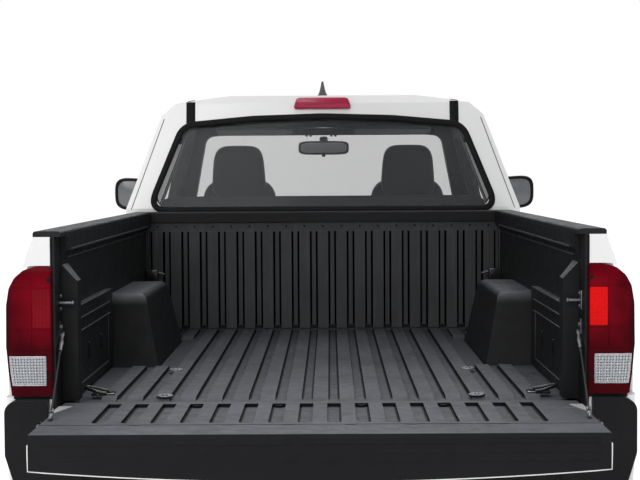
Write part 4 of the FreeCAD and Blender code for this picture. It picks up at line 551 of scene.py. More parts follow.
class Piece:
    """One joined mesh, built from rounded primitives in the row frame."""

    def __init__(self):
        self.bm = bmesh.new()

    def take(self, made, mat):
        """Move another mesh's faces in, with a material index."""
        for face in made.faces:
            face.material_index = mat
        made.normal_update()
        kept = bpy.data.meshes.new("part")
        made.to_mesh(kept)
        self.bm.from_mesh(kept)
        bpy.data.meshes.remove(kept)
        made.free()

    def box(self, low, high, round=0.002, steps=2, mat=0):
        """A rounded block between two corners."""
        low, high = Vector(low), Vector(high)
        made = bmesh.new()
        bmesh.ops.create_cube(made, size=1.0)
        bmesh.ops.scale(made, vec=high - low, verts=made.verts)
        soften(made, min(round, min(high - low) * 0.45), steps)
        bmesh.ops.translate(made, vec=(high + low) / 2, verts=made.verts)
        self.take(made, mat)

    def block(self, middle, half, round=0.002, steps=2, mat=0):
        """A rounded block about a middle, from its half sizes."""
        self.box(Vector(middle) - Vector(half), Vector(middle) + Vector(half), round, steps, mat)

    def loft(self, rings, mat=0, closed=False, caps=(0, -1), round=0.0, steps=2):
        """Rings of points joined one to the next; a ring of one point is a tip, caps closes rings."""
        made = bmesh.new()
        rows = [[made.verts.new(point) for point in ring] for ring in rings]
        sides = max(len(row) for row in rows)
        for first, second in zip(rows, rows[1:] + rows[:1] if closed else rows[1:]):
            for k in range(sides):
                corners = [row[at % len(row)]
                           for row, at in ((first, k), (first, k + 1), (second, k + 1), (second, k))]
                made.faces.new(list(dict.fromkeys(corners)))
        for index in () if closed else caps:
            if len(rows[index]) > 1:
                made.faces.new(rows[index])
        bmesh.ops.recalc_face_normals(made, faces=made.faces)
        soften(made, round, steps)
        self.take(made, mat)

    def lathe(self, profile, middle, axis="X", steps=24, mat=0, closed=False):
        """A turned form; the profile is (distance along the axis, radius)."""
        turn = aligned(axis)
        rings = []
        for along, radius in profile:
            ring = circle(radius, steps) if radius > 0 else [(0.0, 0.0)]
            rings.append([Vector(middle) + turn @ Vector((u, v, along)) for u, v in ring])
        self.loft(rings, mat, closed)

    def head(self, middle, axis, wide, narrow, wall, top, steps=6, mat=0):
        """A screw head or cap: wall, bevel and flat top, at signed distances along the axis."""
        self.lathe([(0.0, wide), (wall, wide), (top, narrow), (top, 0.0)], middle, axis, steps, mat)

    def tube(self, points, radius, sides=10, mat=0, closed=False, flat=1.0):
        """A tube along points, of one radius or one a point; flat squeezes its section."""
        points = [Vector(point) for point in points]
        radii = radius if isinstance(radius, list) else [radius] * len(points)
        side = None
        rings = []
        for point, direction, size in zip(points, headings(points, closed), radii):
            if side is None:
                seed = Vector((0, 0, 1)) if abs(direction.z) < 0.9 else Vector((1, 0, 0))
                side = direction.cross(seed).normalized()
            else:
                side = (side - direction * side.dot(direction)).normalized()
            other = direction.cross(side)
            rings.append([point + side * u + other * v for u, v in circle(size, sides, flat)])
        self.loft(rings, mat, closed)

    def prism(self, outline, axis, start, end, round=0.0, steps=2, mat=0):
        """An outline in two axes pushed along the third."""
        turn = aligned(axis)
        self.loft([[turn @ Vector((u, v, along)) for u, v in outline] for along in (start, end)], mat,
                  round=round, steps=steps)

    def ribbon(self, spots, width, height, mat=0, closed=False):
        """A low strip, domed across, laid along spots, each a point with its normal."""
        rings = []
        for (point, up), along in zip(spots, headings([point for point, _ in spots], closed)):
            across = along.cross(up).normalized()
            rings.append([point + across * (width * u) + up * (height * v) for u, v in STRIP_SECTION])
        self.loft(rings, mat, closed)

    def surface(self, shape, columns, rows, thick=0.0, mat=0):
        """A grid over (u, v) from 0 to 1, given a thickness along its normals if asked."""
        made = bmesh.new()
        grid = [[made.verts.new(shape(u, v)) for v in evenly(0.0, 1.0, rows)]
                for u in evenly(0.0, 1.0, columns)]
        for i in range(columns):
            for j in range(rows):
                made.faces.new((grid[i][j], grid[i + 1][j], grid[i + 1][j + 1], grid[i][j + 1]))
        if thick:
            made.normal_update()
            bmesh.ops.solidify(made, geom=list(made.faces), thickness=thick)
        self.take(made, mat)

    def pillow(self, middle, half_size, tilt=0.0, power=4.0, cuts=10, mat=0, crown=0.12, taper=0.0):
        """A stuffed block with soft edges; tilt, in degrees, leans it about X, taper narrows its top."""
        made = bmesh.new()
        bmesh.ops.create_cube(made, size=2.0)
        bmesh.ops.subdivide_edges(made, edges=list(made.edges), cuts=cuts, use_grid_fill=True)
        turn = Matrix.Rotation(math.radians(tilt), 3, "X")
        for vert in made.verts:
            x, y, z = vert.co / sum(abs(part) ** power for part in vert.co) ** (1 / power)
            swell = 1 + crown * (1 - z * z) * (1 - x * x) if abs(y) > 0.2 else 1.0
            narrow = 1 - taper * (z + 1) / 2
            shaped = Vector((x * half_size[0] * narrow, y * half_size[1] * swell, z * half_size[2]))
            vert.co = Vector(middle) + turn @ shaped
        bmesh.ops.recalc_face_normals(made, faces=made.faces)
        self.take(made, mat)

    def mesh(self, name, materials, smooth=180):
        """The piece's mesh as an object, smooth up to an angle between its faces."""
        mesh = bpy.data.meshes.new(name)
        self.bm.to_mesh(mesh)
        for key in materials:
            mesh.materials.append(M[key])
        mesh.polygons.foreach_set("use_smooth", [True] * len(mesh.polygons))
        if smooth < 180:
            mesh.set_sharp_from_angle(angle=math.radians(smooth))
        obj = bpy.data.objects.new(name, mesh)
        SCENE.collection.objects.link(obj)
        return obj

    def done(self, name, body, *materials, slot, smooth=40, both=False, replaces=None):
        """Make the object and hang it on its body; both makes a left copy on the left body too."""
        for side, _ in SIDES if both else SIDES[:1]:
            obj = self.mesh(name.replace("right", side), materials, smooth)
            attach(obj, body.replace("right", side))
            if replaces and (side == "right" or "right" in replaces):
                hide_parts(replaces.replace("right", side))
            for vert in self.bm.verts:
                vert.co.x = -vert.co.x
            bmesh.ops.reverse_faces(self.bm, faces=self.bm.faces)
        self.bm.free()


class Skin:
    """Finds places on CAD nodes' surfaces, so that trim lies on them."""

    def __init__(self, *names):
        verts, faces = [], []
        for name in names:
            mesh = NODES[name].data
            base = len(verts)
            verts += [vert.co.copy() for vert in mesh.vertices]
            faces += [[base + index for index in polygon.vertices] for polygon in mesh.polygons]
        self.tree = BVHTree.FromPolygons(verts, faces)

    def hit(self, start, direction):
        """Where a ray meets the surface: a point and a normal that faces the ray, or None."""
        place, normal, _, _ = self.tree.ray_cast(Vector(start), Vector(direction).normalized())
        if place is None:
            return None
        return place, -normal if normal.dot(Vector(direction)) > 0 else normal

    def hits(self, starts, direction):
        found = [self.hit(start, direction) for start in starts]
        return [spot for spot in found if spot]


# The bed's sizes that several pieces share: floor height, rear edge and pitch of the ribs

FLOOR = 0.79
EDGE = -2.3645
RIB_PITCH = 0.077

# Load floor: bolts, painted shadow lines in the grooves, cleats and hooks

WASHER = ((0.0, 0.0245), (0.0022, 0.0245), (0.0034, 0.0225), (0.0026, 0.0175), (0.0012, 0.0125),
          (0.0012, 0.0))
hardware = Piece()
for x, y in ((0.482, -1.740), (-0.482, -1.740), (0.455, -2.285), (-0.455, -2.285)):
    hardware.lathe(WASHER, (x, y, FLOOR - 0.0004), "Z", 28)
    hardware.head((x, y, FLOOR), "Z", 0.0085, 0.0068, 0.0035, 0.0048)
hardware.done("floor_bolts", "chassis", "zinc", slot="cable_steel", smooth=35)

# Painted shadow: dark lines at the feet and on the sides of the ribs, broader on the sides of the ribs that
# face the middle

RIB_HALF, GROOVE_Z = 0.022, 0.779
grooves = Piece()
for index in range(-8, 9):
    front = -0.506 if abs(index) < 7 else -1.640
    for side in (1, -1):
        wide = 0.0055 if side * index <= 0 else 0.0018
        edge = index * RIB_PITCH + side * RIB_HALF
        low_x, high_x = sorted((edge, edge + side * wide))
        grooves.box((low_x, -2.280, GROOVE_Z - 0.0004), (high_x, front, GROOVE_Z + 0.0005), 0.0)
        grooves.box((edge - 0.0006, -2.274, GROOVE_Z), (edge + 0.0006, front, FLOOR - 0.0014), 0.0)
grooves.done("floor_groove_lines", "chassis", "seal", slot="bed_composite")

cleats = Piece()
for sign in (1, -1):
    x, y = sign * 0.60, -0.70
    cleats.block((x, y, FLOOR + 0.0015), (0.024, 0.03, 0.0035))
    loop = arc((y, FLOOR + 0.006), 1.0, 180, 0, 12)
    loop = [(x, y + 0.022 * (v - y), FLOOR + 0.006 + 0.026 * (w - FLOOR - 0.006)) for v, w in loop]
    cleats.tube([(x, y - 0.024, FLOOR + 0.004)] + loop + [(x, y + 0.024, FLOOR + 0.004)], 0.0042)
    x, y = sign * 0.64, -2.245
    cleats.block((x, y, FLOOR + 0.00125), (0.034, 0.022, 0.00325))
    cleats.head((x - 0.018 * sign, y, FLOOR + 0.004), "Z", 0.008, 0.006, 0.005, 0.0065)
    back = x - sign * 0.012
    ring = [(x + sign * (0.004 + 0.048 * math.sin(a)), y - 0.026 * math.cos(a),
             FLOOR + 0.009 + 0.012 * math.sin(a)) for a in evenly(0.0, math.pi, 14)]
    cleats.tube([(back, y - 0.026, FLOOR + 0.007)] + ring + [(back, y + 0.026, FLOOR + 0.007)], 0.0048)
    x, y, z = sign * 0.709, -0.575, 1.018
    cleats.box((x - 0.026, y - 0.026, z - 0.032), (x + 0.028, y + 0.026, z + 0.026), 0.006, 3)
    cleats.block((x - 0.026, y, z), (0.006, 0.012, 0.012), 0.003)
    near, far = x - sign * 0.026, x - sign * 0.05
    cleats.tube([(near, y - 0.018, z + 0.012), (far, y - 0.014, z + 0.004), (far, y + 0.014, z + 0.004),
                 (near, y + 0.018, z + 0.012)], 0.0042, 8)
cleats.done("tie_down_cleats", "chassis", "gloss", slot="black_trim")

# Side liners: beads, in a lighter tone that is a painted highlight, and slots, whose dark middles are painted
# shade

lines = Piece()
for sign in (1, -1):
    lines.block((sign * 0.7205, -1.46, 1.222), (0.002, 0.84, 0.0035), 0.0015)
    lines.block((sign * 0.7335, -1.465, 1.198), (0.003, 0.825, 0.0035), 0.0025)
    lines.block((sign * 0.7335, -0.5485, 1.0025), (0.0025, 0.0035, 0.2025), 0.0015)
    inner = sign * 0.7128
    for z in (1.0495, 1.011, 0.973):
        lines.block((inner, -1.97, z), (0.003, 0.31, 0.0028))
    for y in (-2.26, -1.70):
        lines.block((inner, y, 0.8935), (0.0025, 0.003, 0.0785))
    lines.block((inner, -1.98, 0.815), (0.0025, 0.28, 0.003))
lines.done("side_liner_beads", "chassis", "bead", slot="bed_composite")

slots = Piece()
for x in (0.7122, -0.7122):
    for y in (-2.065, -1.846):
        slots.block((x, y, 0.9), (0.0022, 0.009, 0.024), 0.002, 3)
        # The dark block in each slot's middle stands for its open hollow: painted shade
        slots.block((x, y, 0.9), (0.0032, 0.0045, 0.018), 0.002, 3, mat=1)
slots.done("side_liner_slots", "chassis", "floor", "seal", slot="bed_composite")

# Front wall of the bed: pin holes above the ribs drawn as dark discs of painted shade, feet between them,
# black strips of painted shadow in the grooves beside the ribs, and rib tops

wall_bits = Piece()
for index in range(-9, 10):
    x = index * RIB_PITCH
    # Each pin hole is drawn as a small dark disc: painted shade
    wall_bits.head((x, -0.4925, 1.218), "Y", 0.0042, 0.0034, -0.0016, -0.0022, 12)
    for sign in (1, -1):
        # Painted shadow: black strips along both sides of each rib
        wall_bits.block((x + sign * 0.0262, -0.4925, 0.994), (0.0040, 0.0010, 0.202), 0.0008, 1, mat=2)
        wall_bits.block((x + sign * 0.0222, -0.49775, 0.994), (0.0005, 0.00525, 0.202), 0.0002, 1, mat=2)
    wall_bits.block((x, -0.49915, 1.19525), (0.0205, 0.00565, 0.00425), 0.003, mat=3)
for index in range(-9, 9):
    x = (index + 0.5) * RIB_PITCH
    foot = [(x - 0.016, 0.7905), (x + 0.016, 0.7905), (x + 0.012, 0.806), (x - 0.012, 0.806)]
    wall_bits.prism(foot, "Y", -0.4985, -0.4925, 0.0015, 1, mat=1)
wall_bits.done("front_wall_details", "chassis", "seal", "liner", "shadow", "wall", slot="bed_composite")

# Rear pillars: strikers, brackets and seals, and a dark strip of painted shade in the gap under each lamp

pillars = Piece()
for sign in (1, -1):
    pillars.block((sign * 0.742 - 0.002, -2.3875, 1.075), (0.004, 0.0175, 0.027))
    pin = ((0.0, 0.0046), (0.036, 0.0046), (0.0375, 0.0062), (0.0405, 0.0062), (0.042, 0.0045), (0.042, 0.0))
    inward = [(-sign * along, radius) for along, radius in pin]
    pillars.lathe(inward, (sign * 0.7395, -2.3895, 1.074), "X", 16)
    for z in (1.057, 1.093):
        pillars.head((sign * 0.7365, -2.3875, z), "X", 0.0058, 0.0042, -sign * 0.003, -sign * 0.0045)
    pillars.block((sign * 0.7405 - 0.0005, -2.38525, 0.992), (0.0035, 0.01275, 0.030))
    pillars.head((sign * 0.7375, -2.3855, 1.0035), "X", 0.0085, 0.0068, -sign * 0.005, -sign * 0.0065)
    pillars.block((sign * 0.7475, -2.45525, 1.031), (0.003, 0.00325, 0.231), mat=1)
    # Painted shade: a dark strip fills the gap between the lamp's foot and the bumper
    pillars.block((sign * 0.803, -2.4565, 0.81575), (0.054, 0.0035, 0.00575), mat=1)
pillars.done("pillar_strikers", "chassis", "zinc", "seal", slot="cable_steel")

# Tailgate stays: a link, a coated cable and an eye, sagging a little between pillar and tailgate

LINK, COLLAR, CABLE, FERRULE = 0.0066, 0.0052, 0.0031, 0.0060


def stay_radius(share):
    """How thick the stay is at a share of its length."""
    if share < 0.22:
        return LINK + 0.0012 * math.sin(share * 60)
    if share < 0.26:
        return COLLAR
    return FERRULE if share > 0.94 else CABLE


for side, sign in SIDES:
    stay = Piece()
    high, low = Vector((sign * 0.7335, -2.3785, 0.990)), Vector((sign * 0.708, -2.688, 0.7975))
    shares = evenly(0.0, 1.0, 40)
    points = [high + (low - high) * share - Vector((0, 0, math.sin(math.pi * share) * 0.004))
              for share in shares]
    radii = [stay_radius(share) for share in shares]
    stay.tube(points[:11], radii[:11], flat=0.55)
    stay.tube(points[9:39], radii[9:39], mat=1)
    stay.tube(points[36:], 0.0062, flat=0.5)
    stay.lathe([(-0.004, 0.0), (-0.004, 0.009), (0.004, 0.009), (0.004, 0.0)], low, "X", 16)
    obj = stay.mesh(f"tailgate_stay_{side}", ("zinc", "cable"))
    stay.bm.free()
    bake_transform(obj)
    if sign == 1:
        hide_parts("tailgate_stays")

# Tailgate: hooks and strips of painted shadow at one wall of each pocket, clips in the groove, latch notches
# with painted shade in them

gate = Piece()
pocket_front = -2.3705 - 0.057
for index in range(16):
    x = RIB_PITCH * (index - 7.5)
    # Painted shadow: a dark strip at the foot of each pocket's outboard wall
    edge = x + math.copysign(0.019, x)
    low_x, high_x = sorted((edge, edge - math.copysign(0.0055, x)))
    gate.box((low_x, pocket_front - 0.300, FLOOR - 0.0104), (high_x, pocket_front - 0.003, FLOOR - 0.0095),
             0.0)
    if index in (3, 6, 9, 12):
        gate.prism(arc((x, pocket_front - 0.0005), 0.0135, 180, 360, 12), "Z", FLOOR - 0.0102, FLOOR - 0.0035,
                   0.001, 1)
for x in (0.08, 0.237, 0.475):
    for sign in (1, -1):
        gate.block((sign * x, EDGE - 0.39625, FLOOR - 0.00115), (0.0135, 0.00425, 0.00235), 0.0012)
for x in (0.7315, -0.7315):
    gate.box((x - 0.0035, -2.744, 0.7480), (x + 0.0025, -2.692, 0.7885), 0.003, mat=1)
    # Painted shade: a black block in each latch notch
    gate.box((x - 0.0050, -2.7265, 0.7600), (x + 0.0032, -2.7105, 0.7890), mat=2)
gate.done("tailgate_clips", "tailgate", "seal", "zinc", "shadow", slot="black_trim")

# Tailgate's cap, with fine lines and an edge bowed lower in the middle, and the painted skin behind it

CAP_HALF = 0.7255
CAP_Y = -2.8905
cap = Piece()
for z in (0.7745, 0.7645, 0.7395, 0.7185):
    cap.box((-0.700, CAP_Y - 0.0016, z - 0.0020), (0.700, CAP_Y + 0.004, z + 0.0020), 0.0018)
bow = [(x, 0.6995 - 0.0290 * (1 - (x / CAP_HALF) ** 2)) for x in evenly(-CAP_HALF, CAP_HALF, 40)]
cap.prism([(-CAP_HALF, 0.762)] + bow + [(CAP_HALF, 0.762)], "Y", CAP_Y - 0.0004, CAP_Y + 0.020)
cap.done("tailgate_cap_lines", "tailgate", "trim", slot="black_trim")

lip = Piece()
path = [Vector(point) for point in
        [(-CAP_HALF, 0.764), (-CAP_HALF, 0.735)] + bow + [(CAP_HALF, 0.735), (CAP_HALF, 0.764)]]
rings = []
for (x, z), along in zip(path, headings(path, False)):
    out_x, out_z = x + along.y * 0.0032, -along.x * 0.0032
    far_z = max(z, 0.6985)
    rings.append([(x, CAP_Y + 0.0012, z), (out_x, CAP_Y + 0.0012, z + out_z),
                  (out_x, CAP_Y + 0.022, z + out_z),
                  (out_x, CAP_Y + 0.150, far_z + out_z * 0.5), (x, CAP_Y + 0.150, far_z + 0.002),
                  (x, CAP_Y + 0.022, z)])
lip.loft(rings)
for sign in (1, -1):
    lip.prism([(sign * 0.7300, -2.4640), (sign * 0.6930, -2.4640), (sign * 0.7300, -2.5980)], "Z", 0.7885,
              0.7912)
lip.done("tailgate_painted_edge", "tailgate", "paint", slot="body_paint")

# Window surround at the rear and drip mouldings

REAR_RISE = Vector((0, 0.084, 0.446))
rear_normal = Vector((0, -REAR_RISE.z, REAR_RISE.y)).normalized()
rear_outline = rounded([(-0.7385, 1.2860), (0.7385, 1.2860), (0.5960, 1.6450), (0.300, 1.6725), (0.0, 1.6815),
                        (-0.300, 1.6725), (-0.5960, 1.6450)], [0.055, 0.055, 0.085, 0.9, 0.9, 0.9, 0.085], 10)
surround = Piece()
spots = []
for x, z in dense(rear_outline):
    y = -0.4310 + max(0.0, z - 1.293) * REAR_RISE.y / REAR_RISE.z
    spots.append((Vector((x, y, z)), rear_normal))
surround.ribbon(spots, 0.026, 0.007, closed=True)
surround.done("rear_window_surround", "chassis", "seal", slot="black_trim")

cab = Skin("cab_shell")
drip = Piece()
for sign in (1, -1):
    drip.ribbon(cab.hits([(sign * 0.563, y, 2.2) for y in evenly(0.70, -0.325, 39)], (0, 0, -1)), 0.034,
                0.004)
    drip.ribbon(cab.hits([(sign * 0.563, -1.0, z) for z in evenly(1.7555, 1.655, 9)], (0, 1, 0)), 0.038,
                0.004)
    seam = [(sign * (0.812 - 0.136 * share), -1.0, 1.290 + 0.385 * share) for share in evenly(0.0, 1.0, 24)]
    drip.ribbon(cab.hits(seam, (0, 1, 0)), 0.0030, 0.0006)
drip.done("roof_drip_mouldings", "chassis", "seal", slot="black_trim")

# High brake lamp: rim and lens

lamp = Piece()
face_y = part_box("high_brake_lamp")[0].y
rim = rounded([(-0.125, 1.7130), (0.125, 1.7130), (0.109, 1.7620), (-0.109, 1.7620)],
              [0.012, 0.012, 0.02, 0.02])
lens = rounded([(-0.112, 1.7190), (0.112, 1.7190), (0.099, 1.7555), (-0.099, 1.7555)],
               [0.009, 0.009, 0.015, 0.015])
lamp.prism(rim, "Y", face_y - 0.001, face_y + 0.018, 0.003)
lamp.prism(lens, "Y", face_y - 0.0045, face_y + 0.004, 0.0025, 3)
lamp.done("high_brake_lamp_lens", "chassis", "brake_red", slot="lamp_red", replaces="high_brake_lamp")

# Tail lamps: a crowned red moulding, a square of optics in a painted glow, brightest in the right lamp, and a
# clear section of cut cells

LAMP_EDGE = ((0.818, 0.862), (0.885, 0.872), (0.93, 0.876), (0.956, 0.879), (1.072, 0.877), (1.120, 0.868),
             (1.150, 0.851), (1.172, 0.825), (1.182, 0.795), (1.184, 0.770))
SMALL_SCREW = (0.006, 0.0045, -0.002, -0.003, 12)


def lamp_face(x, z):
    """The lamp's outer surface, which runs forward round the corner of the body."""
    round_side = max(0.0, x - 0.835) / 0.062
    round_top = max(0.0, z - 1.14) / 0.045
    return -2.4625 + 0.030 * round_side ** 2 + 0.006 * min(1.0, round_top) ** 2


def lamp_edge(z):
    """The lamp's outer edge at a height."""
    for (low_z, low_x), (high_z, high_x) in zip(LAMP_EDGE, LAMP_EDGE[1:]):
        if z <= high_z:
            return low_x + (high_x - low_x) * (z - low_z) / (high_z - low_z)
    return LAMP_EDGE[-1][1]


def lamp_patch(sign, inner_x, margin, low_z, high_z, proud):
    """A part of the lamp's surface as a function of (u, v)."""
    def shape(u, v):
        z = low_z + (high_z - low_z) * v
        x = inner_x + (lamp_edge(z) - margin - inner_x) * u
        return Vector((sign * x, lamp_face(x, z) - proud, z))
    return shape


def border(shape, columns, rows):
    """The points round the edge of a surface over (u, v)."""
    return ([shape(k / columns, 0.0) for k in range(columns)] + [shape(1.0, k / rows) for k in range(rows)]
            + [shape(1 - k / columns, 1.0) for k in range(columns)]
            + [shape(0.0, 1 - k / rows) for k in range(rows)])


lamps = Piece()
for sign in (1, -1):
    moulding = lamp_patch(sign, 0.7445, 0.0, 0.8195, 1.183, 0.0)
    lamps.surface(moulding, 22, 60)
    rim = border(moulding, 10, 40)
    lamps.loft([rim, [(point.x - sign * 0.002, -2.400, point.z) for point in rim]], caps=(-1,))
    # The square of optics is painted bright red, a painted glow of reflected light, much brighter in the
    # right lamp than the left
    optics = 5 if sign > 0 else 1
    bright = [(sign * x, z) for x, z in panel((0.7505, 1.0105), (0.800, 1.117), 0.004, 3)]
    lamps.prism(bright, "Y", -2.4638, -2.455, 0.0008, 1, mat=optics)
    for column in range(5):
        for row in range(10):
            spot = (sign * (0.7555 + column * 0.0098), -2.4636, 1.0155 + row * 0.0107)
            lamps.lathe([(0.0, 0.0046), (-0.0014, 0.0034), (-0.0018, 0.0)], spot, "Y", 8, mat=optics)
    clear = lamp_patch(sign, 0.765, 0.009, 0.8500, 0.9300, 0.0016)
    lamps.surface(clear, 12, 8, mat=4)
    lamps.tube(border(clear, 12, 8), 0.0018, 6, mat=2, closed=True)
    for column in range(12):
        for row in range(10):
            spot = clear((column + 0.5) / 12, (row + 0.5) / 10)
            lamps.lathe([(0.0, 0.0056), (-0.0034, 0.0008), (-0.0035, 0.0)], spot, "Y", 4, mat=2)
    for x in (0.7475, 0.8035):
        lamps.block((sign * x, -2.4612, 1.0525), (0.0010, 0.0022, 0.0975), 0.001, 1)
    for z in (0.9475, 1.0055, 1.1225):
        lamps.block((sign * 0.80 - 0.001, lamp_face(0.80, z) + 0.0008, z), (0.051, 0.0022, 0.0011), 0.0008, 1)
    for z in (0.872, 1.145):
        lamps.head((sign * 0.7545, -2.4615, z), "Y", *SMALL_SCREW, mat=3)
lamps.done("tail_lamp_lenses", "chassis", "glow", "glow_bright", "cut_clear", "seal", "cut_groove",
           "glow_lit", slot="lamp_red", replaces="tail_lamps")

# Seats: padded cushions, backs, bolsters and headrests on posts

for side, sign in SIDES:
    middle = sign * 0.395
    seat = Piece()
    seat.pillow((middle, 0.640, 0.845), (0.185, 0.255, 0.068), 4, 5, 10, 0, 0.04)
    seat.pillow((middle, 0.300, 1.135), (0.170, 0.060, 0.275), 15, 4.5, 11, 0, 0.06, 0.06)
    seat.pillow((middle, 0.245, 1.305), (0.195, 0.052, 0.110), 15, 3.6, 10, 1, 0.1, 0.2)
    seat.pillow((middle, 0.194, 1.445), (0.130, 0.048, 0.124), 10, 4.4, 10, 0, 0.18, 0.14)
    seat.block((middle, 0.63, 0.795), (0.235, 0.27, 0.020), 0.012, 3, mat=3)
    for edge in (1, -1):
        seat.pillow((middle + edge * 0.198, 0.640, 0.858), (0.050, 0.255, 0.078), 4, 3.4, 9, 1)
        seat.pillow((middle + edge * 0.190, 0.325, 1.080), (0.048, 0.082, 0.240), 15, 3.2, 9, 1)
        post = [(middle + edge * 0.052, 0.262 - k * 0.0115, 1.345 + k * 0.0165) for k in range(6)]
        seat.tube(post, 0.0058, mat=2)
        rail = middle + edge * 0.175
        seat.block((rail, 0.615, 0.5725), (0.022, 0.285, 0.0275), 0.004, mat=3)
        for y in (0.46, 0.80):
            seat.block((rail, y, 0.6875), (0.016, 0.04, 0.0975), 0.004, mat=3)
    seat.box((middle + sign * 0.238, 0.36, 0.79), (middle + sign * 0.250, 0.66, 0.865), 0.005, 3, mat=3)
    seat.done(f"front_seat_{side}", "chassis", "fabric", "fabric_side", "chrome", "cabin", slot="seat_fabric",
              smooth=60, replaces="front_seats" if sign == 1 else None)

bench = Piece()
for middle in (0.36, -0.36):
    bench.pillow((middle, -0.185, 0.845), (0.255, 0.140, 0.062), 2, 5, 10, 0, 0.05)
    bench.pillow((middle, -0.322, 1.02), (0.255, 0.048, 0.145), 6, 5, 10, 0, 0.05)
    bench.block((middle, -0.205, 0.66), (0.235, 0.13, 0.135), 0.012, 3, mat=1)
bench.done("rear_jump_seats", "chassis", "fabric", "cabin", slot="seat_fabric", smooth=60,
           replaces="rear_bench")

# Tyres: carcass, sidewall rings and tread blocks

TYRE_Z, TYRE_HALF, CROWN = 0.387, 0.1215, 0.387
BLOCKS = 64
CARCASS = ((0.76, 0.197), (0.80, 0.2085), (0.93, 0.223), (0.985, 0.250), (1.0, 0.292), (0.985, 0.322),
           (0.955, 0.345), (0.90, 0.3625), (0.84, CROWN - 0.0125), (0.5, CROWN - 0.0092))

# Lugs: across from and to, then for the centre ones lag and width in pitches and skew, and for the
# shoulder ones width in pitches and how far top and base lie below the crown at the inner and outer end

CENTRE_LUGS = ((-0.115, 0.115, 0.0, 0.74, 3.0), (-0.44, -0.17, 0.33, 0.78, 4.0),
               (0.17, 0.44, 0.66, 0.78, -4.0))
SHOULDER_LUGS = ((0.50, 0.84, 0.76, (0.0012, 0.0062), (0.011, 0.0165)),
                 (0.845, 0.955, 0.70, (0.0075, 0.0330), (0.018, 0.0430)))


def tread_block(made, middle, across, angle, width, tops, bases, skew=0.0):
    """One lug with its corners drawn in towards the top; tops and bases are radii at its two ends."""
    low, high = across
    corners = []
    for radii, pull in ((bases, 0.0), (tops, 0.0014)):
        for end, side in ((0, -1), (1, -1), (1, 1), (0, 1)):
            x = across[end] + (pull, -pull)[end]
            turn = angle + side * (width - pull / 0.38) / 2 + skew * (x - (low + high) / 2)
            at = Vector((x, radii[end] * math.cos(turn), radii[end] * math.sin(turn)))
            corners.append(made.verts.new(Vector(middle) + at))
    base, top = corners[:4], corners[4:]
    made.faces.new(top)
    for k in range(4):
        made.faces.new((base[k], base[(k + 1) % 4], top[(k + 1) % 4], top[k]))


def tyre(name, body, middle, replaced):
    piece = Piece()
    left = [(-across * TYRE_HALF, radius) for across, radius in CARCASS]
    right = [(-across, radius) for across, radius in reversed(left)]
    piece.lathe(left + [(0.0, CROWN - 0.0085)] + right, middle, "X", 96, closed=True)
    for across, radius, size in ((0.962, 0.236, 0.0028), (0.997, 0.300, 0.0016), (0.975, 0.331, 0.0022)):
        for sign in (1, -1):
            inside, outside = (sign * (across * TYRE_HALF + off) for off in (-0.003, 0.0008))
            piece.lathe([(inside, radius - size * 1.6), (outside, radius - size), (outside, radius + size),
                         (inside, radius + size * 1.6)], middle, "X", 96, closed=True)
    made = bmesh.new()
    pitch = TURN / BLOCKS
    for k in range(BLOCKS):
        for low, high, lag, wide, skew in CENTRE_LUGS:
            tread_block(made, middle, (low * TYRE_HALF, high * TYRE_HALF), (k + lag) * pitch, wide * pitch,
                        (CROWN - 0.0004,) * 2, (CROWN - 0.010,) * 2, skew)
        for sign, lag in ((1, 0.1), (-1, 0.6)):
            for near, far, wide, top, base in SHOULDER_LUGS[:2 - k % 2]:
                across = [sign * near * TYRE_HALF, sign * far * TYRE_HALF][::sign]
                radii = [[CROWN - drop for drop in drops][::sign] for drops in (top, base)]
                tread_block(made, middle, across, (k + lag) * pitch, wide * pitch, *radii)
    bmesh.ops.recalc_face_normals(made, faces=made.faces)
    piece.take(made, 0)
    piece.done(name, body, "tyre", slot="tyre", smooth=32, replaces=replaced)


# Wheels: barrel, dished disc with spokes and windows, nuts and a plain cap. Profiles are (outwards, radius)

BARREL = ((-0.0935, 0.2045), (-0.0875, 0.2055), (-0.0815, 0.193), (0.070, 0.193), (0.083, 0.2055),
          (0.0935, 0.2045), (0.0935, 0.198), (0.082, 0.1945), (0.060, 0.182), (-0.02, 0.178),
          (-0.0815, 0.180), (-0.0935, 0.190))
HUB_RING = ((0.018, 0.078), (0.038, 0.076), (0.044, 0.070), (0.044, 0.036), (0.030, 0.034), (0.018, 0.034))
HUB_CAP = ((0.030, 0.036), (0.058, 0.0345), (0.066, 0.030), (0.069, 0.020), (0.070, 0.0))
NUT = ((0.043, 0.0125), (0.046, 0.0112), (0.062, 0.0112), (0.066, 0.0085), (0.066, 0.0))
BRAKE_DISC = ((-0.004, 0.152), (0.018, 0.152), (0.018, 0.082), (0.012, 0.078), (-0.004, 0.078))
BRAKE_HUB = ((-0.004, 0.080), (0.024, 0.080), (0.028, 0.072), (0.028, 0.035), (-0.004, 0.035))
SPOKES, NUTS = 6, 6
DISC_INNER, DISC_OUTER = 0.036, 0.183
DISC_COLUMNS, DISC_ROWS = 144, 22


def outward(profile, out):
    """A profile given for the right side, for the side that out says."""
    return [(out * along, radius) for along, radius in profile]


def disc_height(radius, turn):
    """How far out the wheel's disc stands: domed, with valleys between the spokes."""
    share = (radius - 0.075) / (0.172 - 0.075)
    valley = max(0.0, 1 - abs(share * 2 - 1) ** 2.2) if 0 < share < 1 else 0.0
    dome = 0.052 - 0.020 * (radius / DISC_OUTER) ** 2
    return dome - valley * 0.028 * max(0.0, 0.25 - math.cos(SPOKES * turn))


def is_window(radius, turn):
    """Whether the disc is open here, between two spokes."""
    share = (radius - 0.088) / (0.170 - 0.088)
    return 0 < share < 1 and math.cos(SPOKES * turn) < 0.05 - 0.75 * (1 - math.sin(math.pi * share))


